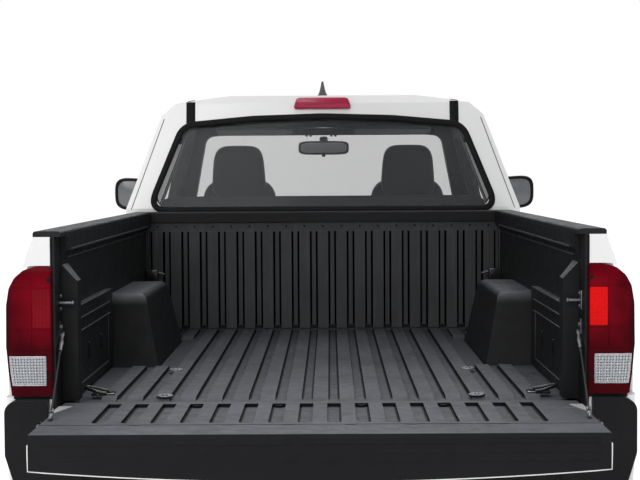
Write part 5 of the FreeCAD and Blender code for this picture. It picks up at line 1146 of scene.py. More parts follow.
def wheel_face(name, body, middle, out, replaced):
    piece = Piece()
    piece.lathe(outward(BARREL, out), middle, "X", 96, closed=True)
    made = bmesh.new()
    radii = evenly(DISC_INNER, DISC_OUTER, DISC_ROWS)
    turns = [TURN * i / DISC_COLUMNS for i in range(DISC_COLUMNS)]
    grid = [[made.verts.new(Vector(middle) + Vector((out * disc_height(radius, turn), radius * math.cos(turn),
                                                     radius * math.sin(turn)))) for radius in radii]
            for turn in turns]
    half_row, half_column = (radii[1] - radii[0]) / 2, turns[1] / 2
    for i in range(DISC_COLUMNS):
        this, following = grid[i], grid[(i + 1) % DISC_COLUMNS]
        for j in range(DISC_ROWS):
            if not is_window(radii[j] + half_row, turns[i] + half_column):
                made.faces.new((this[j], following[j], following[j + 1], this[j + 1]))
    bmesh.ops.delete(made, geom=[vert for vert in made.verts if not vert.link_faces], context="VERTS")
    bmesh.ops.recalc_face_normals(made, faces=made.faces)
    made.normal_update()
    if sum(face.normal.x for face in made.faces) * out < 0:
        bmesh.ops.reverse_faces(made, faces=made.faces)
    bmesh.ops.solidify(made, geom=list(made.faces), thickness=0.013)
    piece.take(made, 0)
    piece.lathe(outward(HUB_RING, out), middle, "X", 48, closed=True)
    piece.lathe(outward(HUB_CAP, out), middle, "X", 36, mat=1)
    for v, w in circle(0.057, NUTS, lag=TURN / NUTS / 2):
        piece.lathe(outward(NUT, out), (middle[0], middle[1] + v, middle[2] + w), "X", 6, mat=2)
    valve = ((0.060, 0.170, 0.03), (0.075, 0.160, 0.028))
    piece.tube([Vector(middle) + Vector((out * u, v, w)) for u, v, w in valve], 0.0042, 8, mat=1)
    piece.done(name, body, "rim", "gloss", "chrome", slot="rim", smooth=42, replaces=replaced)


for end, axle_y in (("front", 1.9605), ("rear", -1.2745)):
    for side, sign in SIDES:
        middle = (sign * 0.802, axle_y, TYRE_Z)
        place = f"{end}_{side}"
        tyre(f"treaded_tyre_{place}", f"wheel_{place}", middle, f"tyre_{place}")
        wheel_face(f"cast_wheel_{place}", f"wheel_{place}", middle, sign, f"rim_{place}")
        disc = Piece()
        disc.lathe(outward(BRAKE_DISC, sign), middle, "X", 64, closed=True)
        disc.lathe(outward(BRAKE_HUB, sign), middle, "X", 40, mat=1, closed=True)
        disc.done(f"brake_disc_{place}", f"wheel_{place}", "disc", "cast", slot="cast_metal")

# Door mirrors: rounded shells with the glass set in

mirror = Piece()
low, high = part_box("door_mirror_right")
shell_low = low.z + 0.032
middle_x, middle_z = (0.906 + high.x) / 2, (shell_low + high.z) / 2
half_width, half_height = (high.x - 0.906) / 2, (high.z - shell_low) / 2


def mirror_ring(y, wide, tall):
    """A section of the mirror's shell, leaning up outwards."""
    return [Vector((middle_x + u, y, middle_z + v + 0.006 * u / half_width))
            for u, v in oval(wide, tall, 3.4, 40)]


rings = []
for share in evenly(0.0, 1.0, 12):
    bulge = 1.0 if share < 0.35 else math.sqrt(max(0.0, 1 - ((share - 0.35) / 0.66) ** 2.4))
    wide = half_width * max(0.32, bulge) * (1.0 if share else 0.985)
    rings.append(mirror_ring(low.y + 0.002 + (high.y - low.y - 0.004) * share, wide,
                             half_height * max(0.34, bulge)))
mirror.loft(rings)
pane = [(point.x, point.z) for point in mirror_ring(0.0, half_width * 0.82, half_height * 0.82)]
mirror.prism(pane, "Y", low.y - 0.0005, low.y + 0.006, 0.001, mat=1)
rings = []
for y, scale in ((0.003, 0.985), (-0.0035, 0.96), (-0.0035, 0.850), (0.001, 0.825)):
    rings.append([Vector((middle_x + u * scale, low.y + y, middle_z + v * scale + 0.006 * u / half_width))
                  for u, v in oval(half_width, half_height, 3.4, 40)])
mirror.loft(rings, caps=())
arm = []
for share in evenly(0.0, 1.0, 8):
    x = low.x - 0.004 + (middle_x - low.x - 0.03) * share
    y, z = 1.046 + 0.004 * share, 1.262 - 0.004 * math.sin(math.pi * share)
    size = 0.021 + 0.010 * (1 - share) ** 2
    arm.append([(x, y + 1.35 * v, z + w) for v, w in circle(size, 16)])
mirror.loft(arm)
mirror.block((low.x + 0.007, 1.048, 1.264), (0.011, 0.048, 0.036), 0.008, 3)
blade = [(-0.07, -0.062), (0.078, -0.050), (0.078, -0.044), (-0.07, -0.056)]
mirror.prism([(middle_x + u, middle_z + v) for u, v in blade], "Y", high.y - 0.035, high.y - 0.014, 0.001, 1)
mirror.done("mirror_shell_right", "front_door_right", "trim", "mirror", slot="black_trim", both=True,
            replaces="door_mirror_right")

# Side windows: seals and belt strips, with the belt's ends

for kind, low_y, high_y, top_y, belt in (("front", 0.4155, 1.118, 0.682, (0.372, 1.075)),
                                         ("access", -0.2155, 0.2855, 0.2855, (-0.255, 0.325))):
    door = Skin(f"{kind}_door_right")
    pane = dense(rounded([(low_y, 1.270), (high_y, 1.270), (top_y, 1.614), (low_y, 1.614)], [0.047] * 4, 8))
    seal = Piece()
    seal.ribbon(door.hits([(1.5, y, z) for y, z in pane], (-1, 0, 0)), 0.017, 0.004, closed=True)
    seal.ribbon(door.hits([(1.5, y, 1.2655) for y in evenly(*belt, 20)], (-1, 0, 0)), 0.014, 0.0055)
    seal.done(f"{kind}_window_seal_right", f"{kind}_door_right", "seal", slot="black_trim", both=True)

# Door handles with their cups and key cylinder

handle = Piece()
face_x = Skin("front_door_right").hit((1.5, 0.50, 1.075), (-1, 0, 0))[0].x
handle.prism(oval(0.050, 0.030, 2.6, 32, (0.515, 1.070)), "X", face_x - 0.012, face_x + 0.0012, 0.0008, 1,
             mat=1)
rings = []
for share in evenly(0.0, 1.0, 16):
    inside = 0 < share < 1
    lift = 0.030 * math.sin(math.pi * share) ** 0.45 if inside else 0.0
    thick = 0.75 * (0.009 if inside else 0.007)
    x, y = face_x + lift - 0.002, 0.425 + 0.165 * share
    rings.append([(x + u * thick, y, 1.078 + 0.0135 * w) for u, w in circle(1.0, 14)])
handle.loft(rings)
handle.head((face_x - 0.002, 0.402, 1.078), "X", 0.0085, 0.007, 0.004, 0.0055, 20, mat=2)
handle.done("door_handle_right", "front_door_right", "paint", "trim", "chrome", slot="body_paint", both=True)

# Fuel door on the left bed side, with its finger slot

bed_skin = Skin("bed_sides")
fuel = Piece()
for low, high, radius, steps, spacing, width, height in (
        ((-0.93, 0.955), (-0.765, 1.115), 0.03, 6, 0.02, 0.0045, 0.0009),
        ((-0.925, 1.02), (-0.912, 1.05), 0.005, 4, 0.01, 0.004, 0.0012)):
    outline = dense(panel(low, high, radius, steps), spacing)
    fuel.ribbon(bed_skin.hits([(-1.5, y, z) for y, z in outline], (1, 0, 0)), width, height, closed=True)
fuel.done("fuel_door_lines", "chassis", "seal", slot="black_trim")

# Wipers and cowl panel

cowl_skin = Skin("cab_shell", "hood", "windshield")
windshield = Skin("windshield")
slope = Vector((0, 0.61, 0.793)).normalized()
wipers = Piece()
for pivot, reach in ((-0.60, 0.56), (0.02, 0.52)):
    starts = []
    for share in evenly(0.0, 1.0, 14):
        x, z = pivot + 0.045 + reach * share, 1.198 + 0.030 * math.sin(math.pi * share) + 0.012 * share
        starts.append(Vector((x, 1.479 - (z - 1.128) / 0.769, z)) + slope * 0.3)
    spots = windshield.hits(starts, -slope)
    wipers.ribbon(spots, 0.009, 0.010)
    wipers.ribbon([(place + normal * 0.010, normal) for place, normal in spots[2:-2]], 0.016, 0.006, mat=1)
    start = cowl_skin.hit((pivot, 1.462, 2.0), (0, 0, -1))[0]
    end, end_normal = spots[len(spots) // 2]
    wipers.tube([start + Vector((0, 0, 0.014)), start + Vector((0.03, -0.02, 0.035)),
                 start.lerp(end, 0.6) + Vector((0, 0, 0.034)), end + end_normal * 0.018],
                [0.009, 0.008, 0.0065, 0.005], mat=1, flat=0.7)
    wipers.lathe([(-0.01, 0.014), (0.014, 0.014), (0.019, 0.010), (0.019, 0.0)], start, "Z", 18, mat=1)
wipers.done("wipers", "chassis", "seal", "trim", slot="black_trim")

cowl = Piece()
cowl.ribbon(cowl_skin.hits([(x, 1.458, 2.0) for x in evenly(-0.70, 0.70, 40)], (0, 0, -1)), 0.030, 0.004)
cowl.done("cowl_panel", "chassis", "trim", slot="black_trim")

nozzles = Piece()
hood_skin = Skin("hood")
for x in (-0.30, 0.30):
    place, _ = hood_skin.hit((x, 1.545, 2.0), (0, 0, -1))
    nozzles.pillow(place + Vector((0, 0, 0.004)), (0.014, 0.019, 0.0085), 0, 3.0, 4, 0, 0.0)
nozzles.done("washer_nozzles", "hood", "trim", slot="black_trim")

# Headlamps: bowls, a bar light and amber corners behind a clear cover

lamp_skin = Skin("headlamps")


def lamp_front(x, z):
    found = lamp_skin.hit((x, 3.4, z), (0, -1, 0))
    return found[0].y if found else 2.70


def lamp_sheet(offset):
    """The headlamp's face, moved along Y, as a function of (u, v)."""
    def shape(u, v):
        x, z = 0.4235 + 0.4040 * u, 0.7445 + 0.1550 * v
        return Vector((x, lamp_front(x, z) + offset, z))
    return shape


BOWL = ((0.003, 1.0, 0.005), (0.004, 1.0, 0.0), (-0.004, 0.93, 0.0), (-0.018, 0.80, 0.0), (-0.030, 0.58, 0.0),
        (-0.036, 0.3, 0.0), (-0.036, 0.0, 0.0))
BULB = ((-0.034, 0.42), (-0.014, 0.42), (-0.008, 0.36), (-0.003, 0.2), (-0.001, 0.0))
beam = Piece()
beam.surface(lamp_sheet(-0.0565), 34, 12)
beam.loft([border(lamp_sheet(offset), 30, 10) for offset in (-0.0565, 0.0)], caps=())
for x, z, radius in ((0.508, 0.824, 0.058), (0.640, 0.822, 0.052)):
    y = min(lamp_front(x - radius, z), lamp_front(x + radius, z)) - 0.014
    bowl = [(along, radius * share + more) for along, share, more in ((0.0, 1.0, 0.005),) + BOWL]
    beam.lathe(bowl, (x, y, z), "Y", 40, mat=1)
    beam.lathe([(along, radius * share) for along, share in BULB], (x, y, z), "Y", 28, mat=2)
bar = [(x, lamp_front(x, 0.757) - 0.013, 0.757) for x in evenly(0.435, 0.735, 16)]
beam.tube(bar, 0.0062, mat=2)
for x in (0.748, 0.80):
    front = lamp_front(x + 0.021, 0.82) - 0.012
    beam.box((x - 0.021, lamp_front(x, 0.82) - 0.036, 0.765), (x + 0.021, front, 0.885), 0.006, 3, mat=3)
beam.done("headlamp_bowls_right", "chassis", "gloss", "chrome", "lamp_white", "lamp_amber", slot="lamp_clear",
          both=True, replaces="headlamps")
cover = Piece()
cover.surface(lamp_sheet(0.0005), 34, 12, 0.003)
cover.done("headlamp_cover_right", "chassis", "clear", slot="clear_glass", both=True)

# Grille: uprights behind the bars, surround and cross bar

grille_skin = Skin("grille")
fins = Piece()
for index in range(-12, 13):
    x = index * 0.0325
    foot, top = (grille_skin.hit((x, 3.4, z), (0, -1, 0))[0].y - 0.036 for z in (0.728, 0.893))
    blade = [(foot, 0.722), (foot + 0.012, 0.722), (top + 0.012, 0.895), (top, 0.895)]
    fins.prism(blade, "X", x - 0.0022, x + 0.0022, 0.001, 1)
outline = dense(panel((-0.412, 0.7175), (0.412, 0.8965), 0.012, 4))
fins.ribbon(grille_skin.hits([(x, 3.4, z) for x, z in outline], (0, -1, 0)), 0.013, 0.005, mat=1, closed=True)
level = [(x, 3.4, 0.8085) for x in evenly(-0.405, 0.405, 30)]
fins.ribbon(grille_skin.hits(level, (0, -1, 0)), 0.020, 0.007, mat=1)
fins.done("grille_fins", "chassis", "gloss", "chrome", slot="black_trim")

# Front bumper: fog lamps, hooks, intake bars and blank plate

FOG_RIM = ((-0.02, 0.060), (0.006, 0.060), (0.010, 0.056), (0.008, 0.050), (-0.004, 0.046), (-0.02, 0.044))
FOG_LENS = ((-0.006, 0.043), (0.001, 0.041), (0.0045, 0.030), (0.006, 0.012), (0.006, 0.0))
TOW_HOOK = ((-0.018, -0.03), (-0.018, 0.011), (0.0, 0.023), (0.018, 0.011), (0.018, -0.03))
bumper_skin = Skin("front_bumper")


def bumper_front(x, z):
    return bumper_skin.hit((x, 3.6, z), (0, -1, 0))[0].y


nose = Piece()
for sign in (1, -1):
    x, z = sign * 0.52, 0.545
    y = bumper_front(x, z)
    nose.lathe(FOG_RIM, (x, y, z), "Y", 36)
    nose.lathe(FOG_LENS, (x, y, z), "Y", 32, mat=1)
    x, z = sign * 0.40, 0.452
    y = bumper_front(x, z)
    nose.tube([(x + u, y + v, z) for u, v in TOW_HOOK], 0.0075, mat=2)
for index in range(-10, 11):
    x = index * 0.030
    nose.block((x, bumper_front(x, 0.60) - 0.046, 0.526), (0.002, 0.006, 0.042), 0.001, 1)
for z in (0.506, 0.526, 0.546):
    nose.tube([(x, bumper_front(x, 0.60) - 0.042, z) for x in evenly(-0.335, 0.335, 20)], 0.0028, 6)
y = bumper_front(0.0, 0.635)
nose.block((0.0, y - 0.00125, 0.639), (0.165, 0.00275, 0.051), 0.0025)
nose.block((0.0, y + 0.00025, 0.63925), (0.1525, 0.00225, 0.04475), mat=3)
for x in (-0.1, 0.1):
    nose.head((x, y + 0.0005, 0.675), "Y", 0.006, 0.004, 0.002, 0.003, 12, mat=2)
nose.done("front_bumper_fittings", "chassis", "gloss", "lamp_white", "chrome", "plate", slot="black_trim")

# Roof fin

fin = Piece()
low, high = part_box("roof_antenna")
rings = []
for share in evenly(0.0, 1.0, 8):
    z = low.z + (high.z - 0.001 - low.z) * share
    front = high.y - (high.y - low.y - 0.038) * share ** 0.8
    rear = low.y + 0.004 * share
    wide = (high.x - 0.001) * (0.55 * (1 - share) + 0.45 * (1 - share) ** 4) + 0.0045
    rings.append([(wide * s * (1 - 0.45 * max(0.0, c)), (front + rear) / 2 + (front - rear) / 2 * c, z)
                  for c, s in circle(1.0, 28)])
fin.loft(rings)
fin.done("roof_fin", "chassis", "fin", slot="black_trim", smooth=60, replaces="roof_antenna")

# Rear bumper: step pads, blank plate, lamps and fittings

STEP_Z = 0.672
DRAIN = ((-0.001, 0.024), (0.0035, 0.024), (0.005, 0.021), (0.005, 0.0135), (-0.03, 0.0135))
SENSOR = ((0.002, 0.0125), (-0.002, 0.0125), (-0.003, 0.011), (-0.003, 0.0))
rear = Piece()
face_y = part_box("rear_bumper")[0].y
for index in range(-10, 11):
    for y in (0.055, 0.097, 0.139):
        rear.block((index * 0.064, face_y + y, STEP_Z + 0.001), (0.026, 0.014, 0.002), 0.0015, 1)
rear.block((0.0, face_y - 0.001, 0.570), (0.178, 0.005, 0.070), 0.006, 3)
rear.block((0.0, face_y - 0.0075, 0.580), (0.1525, 0.002, 0.050), 0.003, mat=1)
for sign in (1, -1):
    rear.block((sign * 0.215, face_y - 0.0005, 0.6125), (0.016, 0.0045, 0.0125), 0.004, mat=2)
    rear.block((sign * 0.52, face_y + 0.001, 0.5125), (0.055, 0.003, 0.0225), 0.004)
    rear.head((sign * 0.1, face_y - 0.0095, 0.620), "Y", 0.0045, 0.003, -0.002, -0.003, 12, mat=3)
    for x in (0.36, 0.66):
        rear.lathe(SENSOR, (sign * x, face_y, 0.585), "Y", 24)
rear.lathe(DRAIN, (0, face_y + 0.095, STEP_Z), "Z", 28, mat=3)
rear.done("rear_bumper_fittings", "chassis", "trim", "plate", "lamp_white", "chrome", slot="black_trim")

hitch = Piece()
hitch.block((0.0, -2.31, 0.437), (0.032, 0.15, 0.032), 0.006)
# Painted shade: a dark square stands for the open end of the receiver
hitch.block((0.0, -2.46, 0.437), (0.026, 0.0015, 0.026), mat=1)
hitch.tube([(-0.40, -2.20, 0.437), (0.40, -2.20, 0.437)], 0.030, 16)
for x in (0.40, -0.40):
    hitch.block((x, -2.195, 0.46), (0.006, 0.075, 0.06), 0.002, 1)
hitch.done("tow_hitch", "chassis", "steel", "seal", slot="chassis_steel")

# Tailgate handle and pressed lines on the outer skin

grip = Piece()
low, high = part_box("tailgate_shell")
under, handle_y = low.z, low.y + 0.105
grip.prism(oval(0.135, 0.052, 4.0, 40, (0.0, handle_y)), "Z", under - 0.005, under + 0.004, 0.003)
grip.block((0.0, handle_y + 0.009, under - 0.009), (0.105, 0.021, 0.005), 0.004, 3, mat=1)
grip.head((0.0, handle_y - 0.032, under - 0.004), "Z", 0.010, 0.008, -0.004, -0.0055, 20, mat=2)
for y in (low.y + 0.225, high.y - 0.10):
    grip.block((0.0, y, under - 0.0006), (0.62, 0.004, 0.0016), mat=3)
grip.done("tailgate_handle", "tailgate", "gloss", "trim", "chrome", "paint", slot="black_trim")

# Cabin: mirror, visors, dashboard fittings, console and steering wheel pad

inside = Piece()
inside.pillow((0.0, 0.832, 1.570), (0.129, 0.026, 0.034), -8, 5.0, 9, 0, 0.05)
inside.prism(oval(0.117, 0.0255, 5.0, 32, (0.0, 1.570)), "Y", 0.803, 0.808, 0.001, 1, mat=1)
inside.pillow((0.0, 0.852, 1.612), (0.021, 0.016, 0.017), 0, 3.5, 6)
inside.tube([(0.0, 0.845, 1.600), (0.0, 0.838, 1.590), (0.0, 0.832, 1.575)], 0.009)
inside.block((0.0, 0.819, 1.533), (0.009, 0.007, 0.009), 0.003)
inside.done("cabin_mirror_shell", "chassis", "cabin", "lamp_white", slot="cabin_plastic",
            replaces="cabin_mirror")

visors = Piece()
for sign in (1, -1):
    visors.pillow((sign * 0.345, 0.655, 1.652), (0.190, 0.078, 0.009), -9, 6.0, 9, 0, 0.1)
    arm = [(sign * 0.15, 0.722, 1.640), (sign * 0.53, 0.722, 1.640), (sign * 0.545, 0.722, 1.658)]
    visors.tube(arm, 0.005, 8, mat=1)
visors.block((0.0, 0.52, 1.701), (0.075, 0.08, 0.007), 0.006, 3, mat=1)
visors.block((0.0, 0.715, 1.64975), (0.565, 0.013, 0.01825), 0.008, 3, mat=1)
for x in (-0.085, -0.065, 0.04, 0.06):
    visors.block((x, 0.708, 1.632), (0.006, 0.008, 0.008), 0.003, mat=1)
sill = [(-0.700, 1.255), (0.700, 1.255), (0.683, 1.330), (0.640, 1.3425), (-0.640, 1.3425), (-0.683, 1.330)]
visors.prism(sill, "Y", -0.3725, -0.350, 0.006, 3, mat=1)
visors.done("sun_visors", "chassis", "headliner", "cabin", slot="cabin_plastic", smooth=60)

DASH = 1.1615
WHEEL_X = -0.395
DIAL_Z = 1.055
DIAL = ((0.0, 0.054), (-0.006, 0.054), (-0.008, 0.050), (-0.003, 0.048), (-0.003, 0.0))
SMALL_KNOB = ((0.0, 0.015), (-0.012, 0.0135), (-0.014, 0.011), (-0.014, 0.0))
LARGE_KNOB = ((0.0, 0.026), (-0.010, 0.026), (-0.012, 0.022), (-0.018, 0.019), (-0.018, 0.0))
COLUMN_AXIS = (0, 0.906, -0.423)
fascia = Piece()
hooded = [superellipse(angle, 0.185, 0.115, 3.0) for angle in evenly(0.0, math.pi, 24)]
fascia.prism([(WHEEL_X + u, 1.010 + v) for u, v in hooded], "Y", 1.135, 1.270, 0.010, 3)
for x in (WHEEL_X - 0.075, WHEEL_X + 0.075):
    fascia.lathe(DIAL, (x, 1.135, DIAL_Z), "Y", 36, mat=1)
    for mark_x, mark_z in arc((x, DIAL_Z), 0.040, -30, 210, 10):
        fascia.block((mark_x, 1.1315, mark_z), (0.0012, 0.0010, 0.003), 0.0004, 1, mat=2)
    fascia.tube([(x, 1.1295, DIAL_Z), (x - 0.026, 1.1295, DIAL_Z + 0.023)], 0.0012, 6, mat=3)
fascia.prism(panel((-0.118, 0.905), (0.118, 1.030), 0.010, 5), "Y", DASH - 0.010, DASH + 0.004, 0.003, mat=1)
for x in (-0.132, 0.132):
    fascia.lathe(SMALL_KNOB, (x, DASH, 0.968), "Y", 24, mat=2)
for x in (-0.078, 0.0, 0.078):
    fascia.lathe(LARGE_KNOB, (x, DASH, 0.835), "Y", 28)
for x in (-0.645, -0.172, 0.172, 0.645):
    vent = oval(0.045, 0.055, 4.0, 32, (x, 0.965))
    fascia.prism(vent, "Y", DASH - 0.008, DASH + 0.004, 0.003, mat=1)
    for k in range(5):
        fascia.block((x, DASH - 0.009, 0.931 + k * 0.0185), (0.037, 0.003, 0.003), 0.001, 1)
fascia.prism(panel((0.235, 0.770), (0.575, 0.900), 0.018, 5), "Y", DASH - 0.007, DASH + 0.003, 0.004)
fascia.block((0.405, DASH - 0.009, 0.877), (0.030, 0.005, 0.009), 0.004, mat=1)
fascia.block((0.0, DASH, 1.019), (0.70, 0.004, 0.003), mat=2)
fascia.lathe([(-0.080, 0.050), (0.10, 0.058)], (WHEEL_X, 1.075, 1.024), COLUMN_AXIS, 28)
for side in (-1, 1):
    lever = [(WHEEL_X + side * u, v, w) for u, v, w in
             ((0.05, 1.06, 1.045), (0.15, 1.035, 1.062), (0.165, 1.032, 1.066))]
    fascia.tube(lever, [0.006, 0.006, 0.009])
for x, tall in ((-0.50, 0.09), (-0.375, 0.06), (-0.27, 0.10)):
    fascia.box((x - 0.028, 1.235, 0.600), (x + 0.028, 1.247, 0.600 + tall), 0.004)
    fascia.tube([(x, 1.245, 0.63), (x, 1.30, 0.76), (x, 1.40, 0.84)], 0.009, 8, mat=4)
fascia.done("dashboard_fittings", "chassis", "cabin", "gloss", "chrome", "lamp_amber", "steel",
            slot="cabin_plastic")

TUNNEL = ((0.30, 0.522), (1.165, 0.522), (1.165, 0.760), (0.98, 0.700), (0.62, 0.672), (0.60, 0.790),
          (0.30, 0.790))
CUP = ((0.0, 0.043), (0.006, 0.043), (0.006, 0.037), (-0.002, 0.035), (-0.002, 0.0))
GEAR_LEVER = ((0.0, 0.052), (0.012, 0.045), (0.030, 0.026), (0.045, 0.014), (0.110, 0.009), (0.112, 0.022),
              (0.135, 0.027), (0.160, 0.021), (0.166, 0.0))
console = Piece()
console.prism(TUNNEL, "X", -0.108, 0.108, 0.014, 3)
console.pillow((0.0, 0.455, 0.800), (0.104, 0.150, 0.026), 0, 5.0, 9, 1, 0.08)
for y in (0.70, 0.79):
    console.lathe(CUP, (0.040, y, 0.688), "Z", 28, mat=2)
console.lathe(GEAR_LEVER, (0.0, 0.945, 0.693), "Z", 24, mat=2)
console.tube([(-0.060, 0.66, 0.690), (-0.060, 0.76, 0.735), (-0.060, 0.80, 0.742)], [0.014, 0.013, 0.015], 12,
             mat=2)
console.done("centre_console", "chassis", "cabin", "fabric_side", "gloss", slot="cabin_plastic", smooth=50)

hub = Piece()
axis = Vector((0.0, -0.906308, 0.422618))
across, upright = Vector((1, 0, 0)), axis.cross(Vector((1, 0, 0)))
for u, v, width, height in ((0.0, -0.005, 0.078, 0.062), (0.108, 0.0, 0.034, 0.020),
                            (-0.108, 0.0, 0.034, 0.020)):
    middle = Vector((WHEEL_X, 0.9755, 1.075)) + across * u + upright * v
    rings = []
    for proud, inset in ((0.0, 0.0), (0.026, 0.0), (0.034, 0.08), (0.038, 0.3)):
        rings.append([middle + axis * proud + (across * a + upright * b) * (1 - inset)
                      for a, b in oval(width, height, 3.0, 28)])
    hub.loft(rings, mat=1 if u else 0)
hub.done("steering_wheel_pad", "steering_wheel", "cabin", "gloss", slot="cabin_plastic", smooth=50)

# Door cards: pads, armrest, pull, switch and speaker on the inner faces

PAD_SECTION = ((-0.2, -1.0), (0.6, -0.98), (1.0, -0.75), (1.0, 0.75), (0.6, 0.98), (-0.2, 1.0))
SPEAKER = ((0.006, 0.078), (-0.006, 0.078), (-0.009, 0.072), (-0.006, 0.066), (-0.006, 0.0))


def door_pad(piece, skin, low_y, high_y, z, thick, tall, mat):
    """A pad along the door's inner face, thinner at its ends."""
    rows = []
    for share in evenly(0.0, 1.0, 16):
        y = low_y + (high_y - low_y) * share
        proud = thick * min(1.0, 6.0 * min(share, 1 - share) + 0.15)
        heights = [(u, z + tall * v) for u, v in PAD_SECTION]
        rows.append([(skin.hit((0.3, y, height), (1, 0, 0))[0].x - proud * u, y, height)
                     for u, height in heights])
    piece.loft(rows, mat=mat)


for kind, low_y, high_y in (("front_door", 0.42, 1.27), ("access_door", -0.20, 0.27)):
    skin = Skin(f"{kind}_right")
    card = Piece()
    for pad in ((1.075, 0.012, 0.045, 0), (0.945, 0.007, 0.062, 1), (0.700, 0.006, 0.10, 0)):
        door_pad(card, skin, low_y, high_y, *pad)
    span = high_y - low_y
    rest_y, pull_y = low_y + span * 0.42, low_y + span * 0.80
    x = skin.hit((0.3, rest_y, 0.87), (1, 0, 0))[0].x
    card.pillow((x - 0.024, rest_y, 0.868), (0.034, span * 0.30, 0.020), 0, 4.5, 8, 1, 0.08)
    card.tube([(x + 0.002, pull_y - 0.05, 0.90), (x - 0.026, pull_y - 0.03, 0.915),
               (x - 0.028, pull_y + 0.03, 0.935), (x + 0.002, pull_y + 0.05, 0.950)], 0.009, mat=2)
    card.block((x - 0.005, pull_y, 1.0025), (0.009, 0.055, 0.0175), 0.006, 3, mat=2)
    x, y, z = skin.hit((0.3, high_y - 0.13, 0.62), (1, 0, 0))[0] - Vector((0.001, 0, 0))
    card.lathe(SPEAKER, (x, y, z), "X", 36, mat=2)
    # Painted shade: the speaker grille's holes are small dark blocks
    for ring in range(1, 5):
        for v, w in circle(0.013 * ring, 6 * ring):
            card.block((x - 0.0062, y + v, z + w), (0.001, 0.002, 0.002), 0.0, mat=3)
    card.done(f"{kind}_card_right", f"{kind}_right", "cabin", "fabric_side", "gloss", "shadow",
              slot="cabin_plastic", smooth=50, both=True)

# Spare wheel lying under the bed

SPARE = Vector((0.0, -1.994, 0.4425))
SPARE_HALF = ((-0.088, 0.205), (-0.100, 0.235), (-0.1065, 0.280), (-0.104, 0.320), (-0.094, 0.344),
              (-0.070, 0.3535))
SPARE_RIM = ((0.092, 0.212), (0.092, 0.200), (0.050, 0.186), (-0.060, 0.186), (-0.092, 0.200),
             (-0.092, 0.212), (-0.078, 0.206), (0.078, 0.206))
SPARE_DISC = ((-0.020, 0.188), (-0.034, 0.150), (-0.052, 0.110), (-0.048, 0.052), (-0.030, 0.046),
              (-0.022, 0.050), (-0.030, 0.112), (-0.012, 0.150), (0.0, 0.188))
LUGS = 60
spare = Piece()
carcass = list(SPARE_HALF) + [(-along, radius) for along, radius in reversed(SPARE_HALF)]
spare.lathe(carcass, SPARE, "Z", 72, closed=True)
for row, lag in ((-0.074, 0.0), (-0.026, 0.5), (0.026, 0.0), (0.074, 0.5)):
    for k in range(LUGS):
        turn = Matrix.Rotation(TURN * (k + lag) / LUGS, 3, "Z")
        lug = bmesh.new()
        bmesh.ops.create_cube(lug, size=1.0)
        for vert in lug.verts:
            x, y, z = vert.co
            vert.co = SPARE + turn @ Vector((0.354 + 0.009 * x, 0.026 * y, row + 0.040 * z))
        spare.take(lug, 0)
spare.lathe(SPARE_RIM, SPARE, "Z", 48, mat=1, closed=True)
spare.lathe(SPARE_DISC, SPARE, "Z", 48, mat=1, closed=True)
for x, y in circle(0.085, 6):
    spare.lathe([(-0.056, 0.0), (-0.056, 0.010), (-0.045, 0.012)], SPARE + Vector((x, y, 0.0)), "Z", 12,
                mat=2)
# Painted shade: the holes in the wheel's disc are drawn as dark discs
for x, y in circle(0.140, 6, lag=0.5):
    spare.lathe([(-0.0475, 0.0), (-0.0475, 0.020), (-0.030, 0.021)], SPARE + Vector((x, y, 0.0)), "Z", 18,
                mat=3)
spare.block(SPARE - Vector((0.0, 0.0, 0.052)), (0.055, 0.055, 0.006), 0.006, mat=1)
spare.done("spare_tyre_and_rim", "chassis", "tyre", "steel", "chrome", "shadow", slot="tyre",
           replaces="spare_wheel")

# Underside: rear shocks, brake lines and front springs with their legs

SPRING_Y = 1.9605
under = Piece()
for sign in (1, -1):
    under.tube([(sign * 0.37, -1.16, 0.40), (sign * 0.36, -0.92, 0.545)], 0.026, 16)
    under.tube([(sign * 0.36, -0.92, 0.545), (sign * 0.355, -0.74, 0.652)], 0.018, 16, mat=1)
    line = [(sign * 0.47, 1.55, 0.50), (sign * 0.455, 0.6, 0.47), (sign * 0.455, -0.5, 0.47),
            (sign * 0.30, -1.10, 0.46)]
    under.tube(line, 0.0042, 8, mat=1)
    coil = []
    for k in range(133):
        turn, rise = TURN * k / 22, 0.20 * k / 132
        coil.append((sign * (0.56 - 0.10 * rise) + 0.050 * math.cos(turn), SPRING_Y + 0.050 * math.sin(turn),
                     0.44 + rise))
    under.tube(coil, 0.0075, 8, mat=2)
    under.tube([(sign * 0.56, SPRING_Y, 0.40), (sign * 0.54, SPRING_Y, 0.66)], 0.021, 14)
under.done("shocks_and_lines", "chassis", "steel", "cable", "glow_bright", slot="chassis_steel")

# Engine bay: cover, battery, air box, radiator with its fan, hoses and bottles

bay = Piece()
bay.block((0.0, 1.99, 1.002), (0.215, 0.27, 0.010), 0.010, 3)
for k in range(7):
    bay.block((-0.150 + 0.05 * k, 1.99, 1.014), (0.009, 0.21, 0.004), 0.004)
bay.head((0.150, 2.225, 1.004), "Z", 0.030, 0.024, 0.014, 0.018, 20, mat=1)
bay.block((0.51, 2.27, 0.8725), (0.09, 0.13, 0.0925), 0.008, mat=1)
bay.block((0.51, 2.27, 0.9685), (0.085, 0.125, 0.0065), 0.004)
for y, mat in ((2.19, 4), (2.35, 1)):
    bay.lathe([(0.0, 0.011), (0.012, 0.010), (0.012, 0.0)], (0.46, y, 0.974), "Z", 14, mat=mat)
    bay.tube([(0.46, y, 0.982), (0.40, y - 0.05, 0.972), (0.33, y - 0.14, 0.93)], 0.008, 8, mat=mat)
bay.block((-0.48, 2.25, 0.8875), (0.12, 0.15, 0.0875), 0.020, 3)
for k in range(4):
    bay.box((-0.575 + k * 0.055, 2.13, 0.973), (-0.553 + k * 0.055, 2.37, 0.981), 0.003, 1)
duct = [(-0.42, 2.12, 0.93), (-0.36, 2.02, 0.955), (-0.27, 1.95, 0.965), (-0.20, 1.90, 0.985)]
bay.tube(duct, 0.036, 16, mat=1)
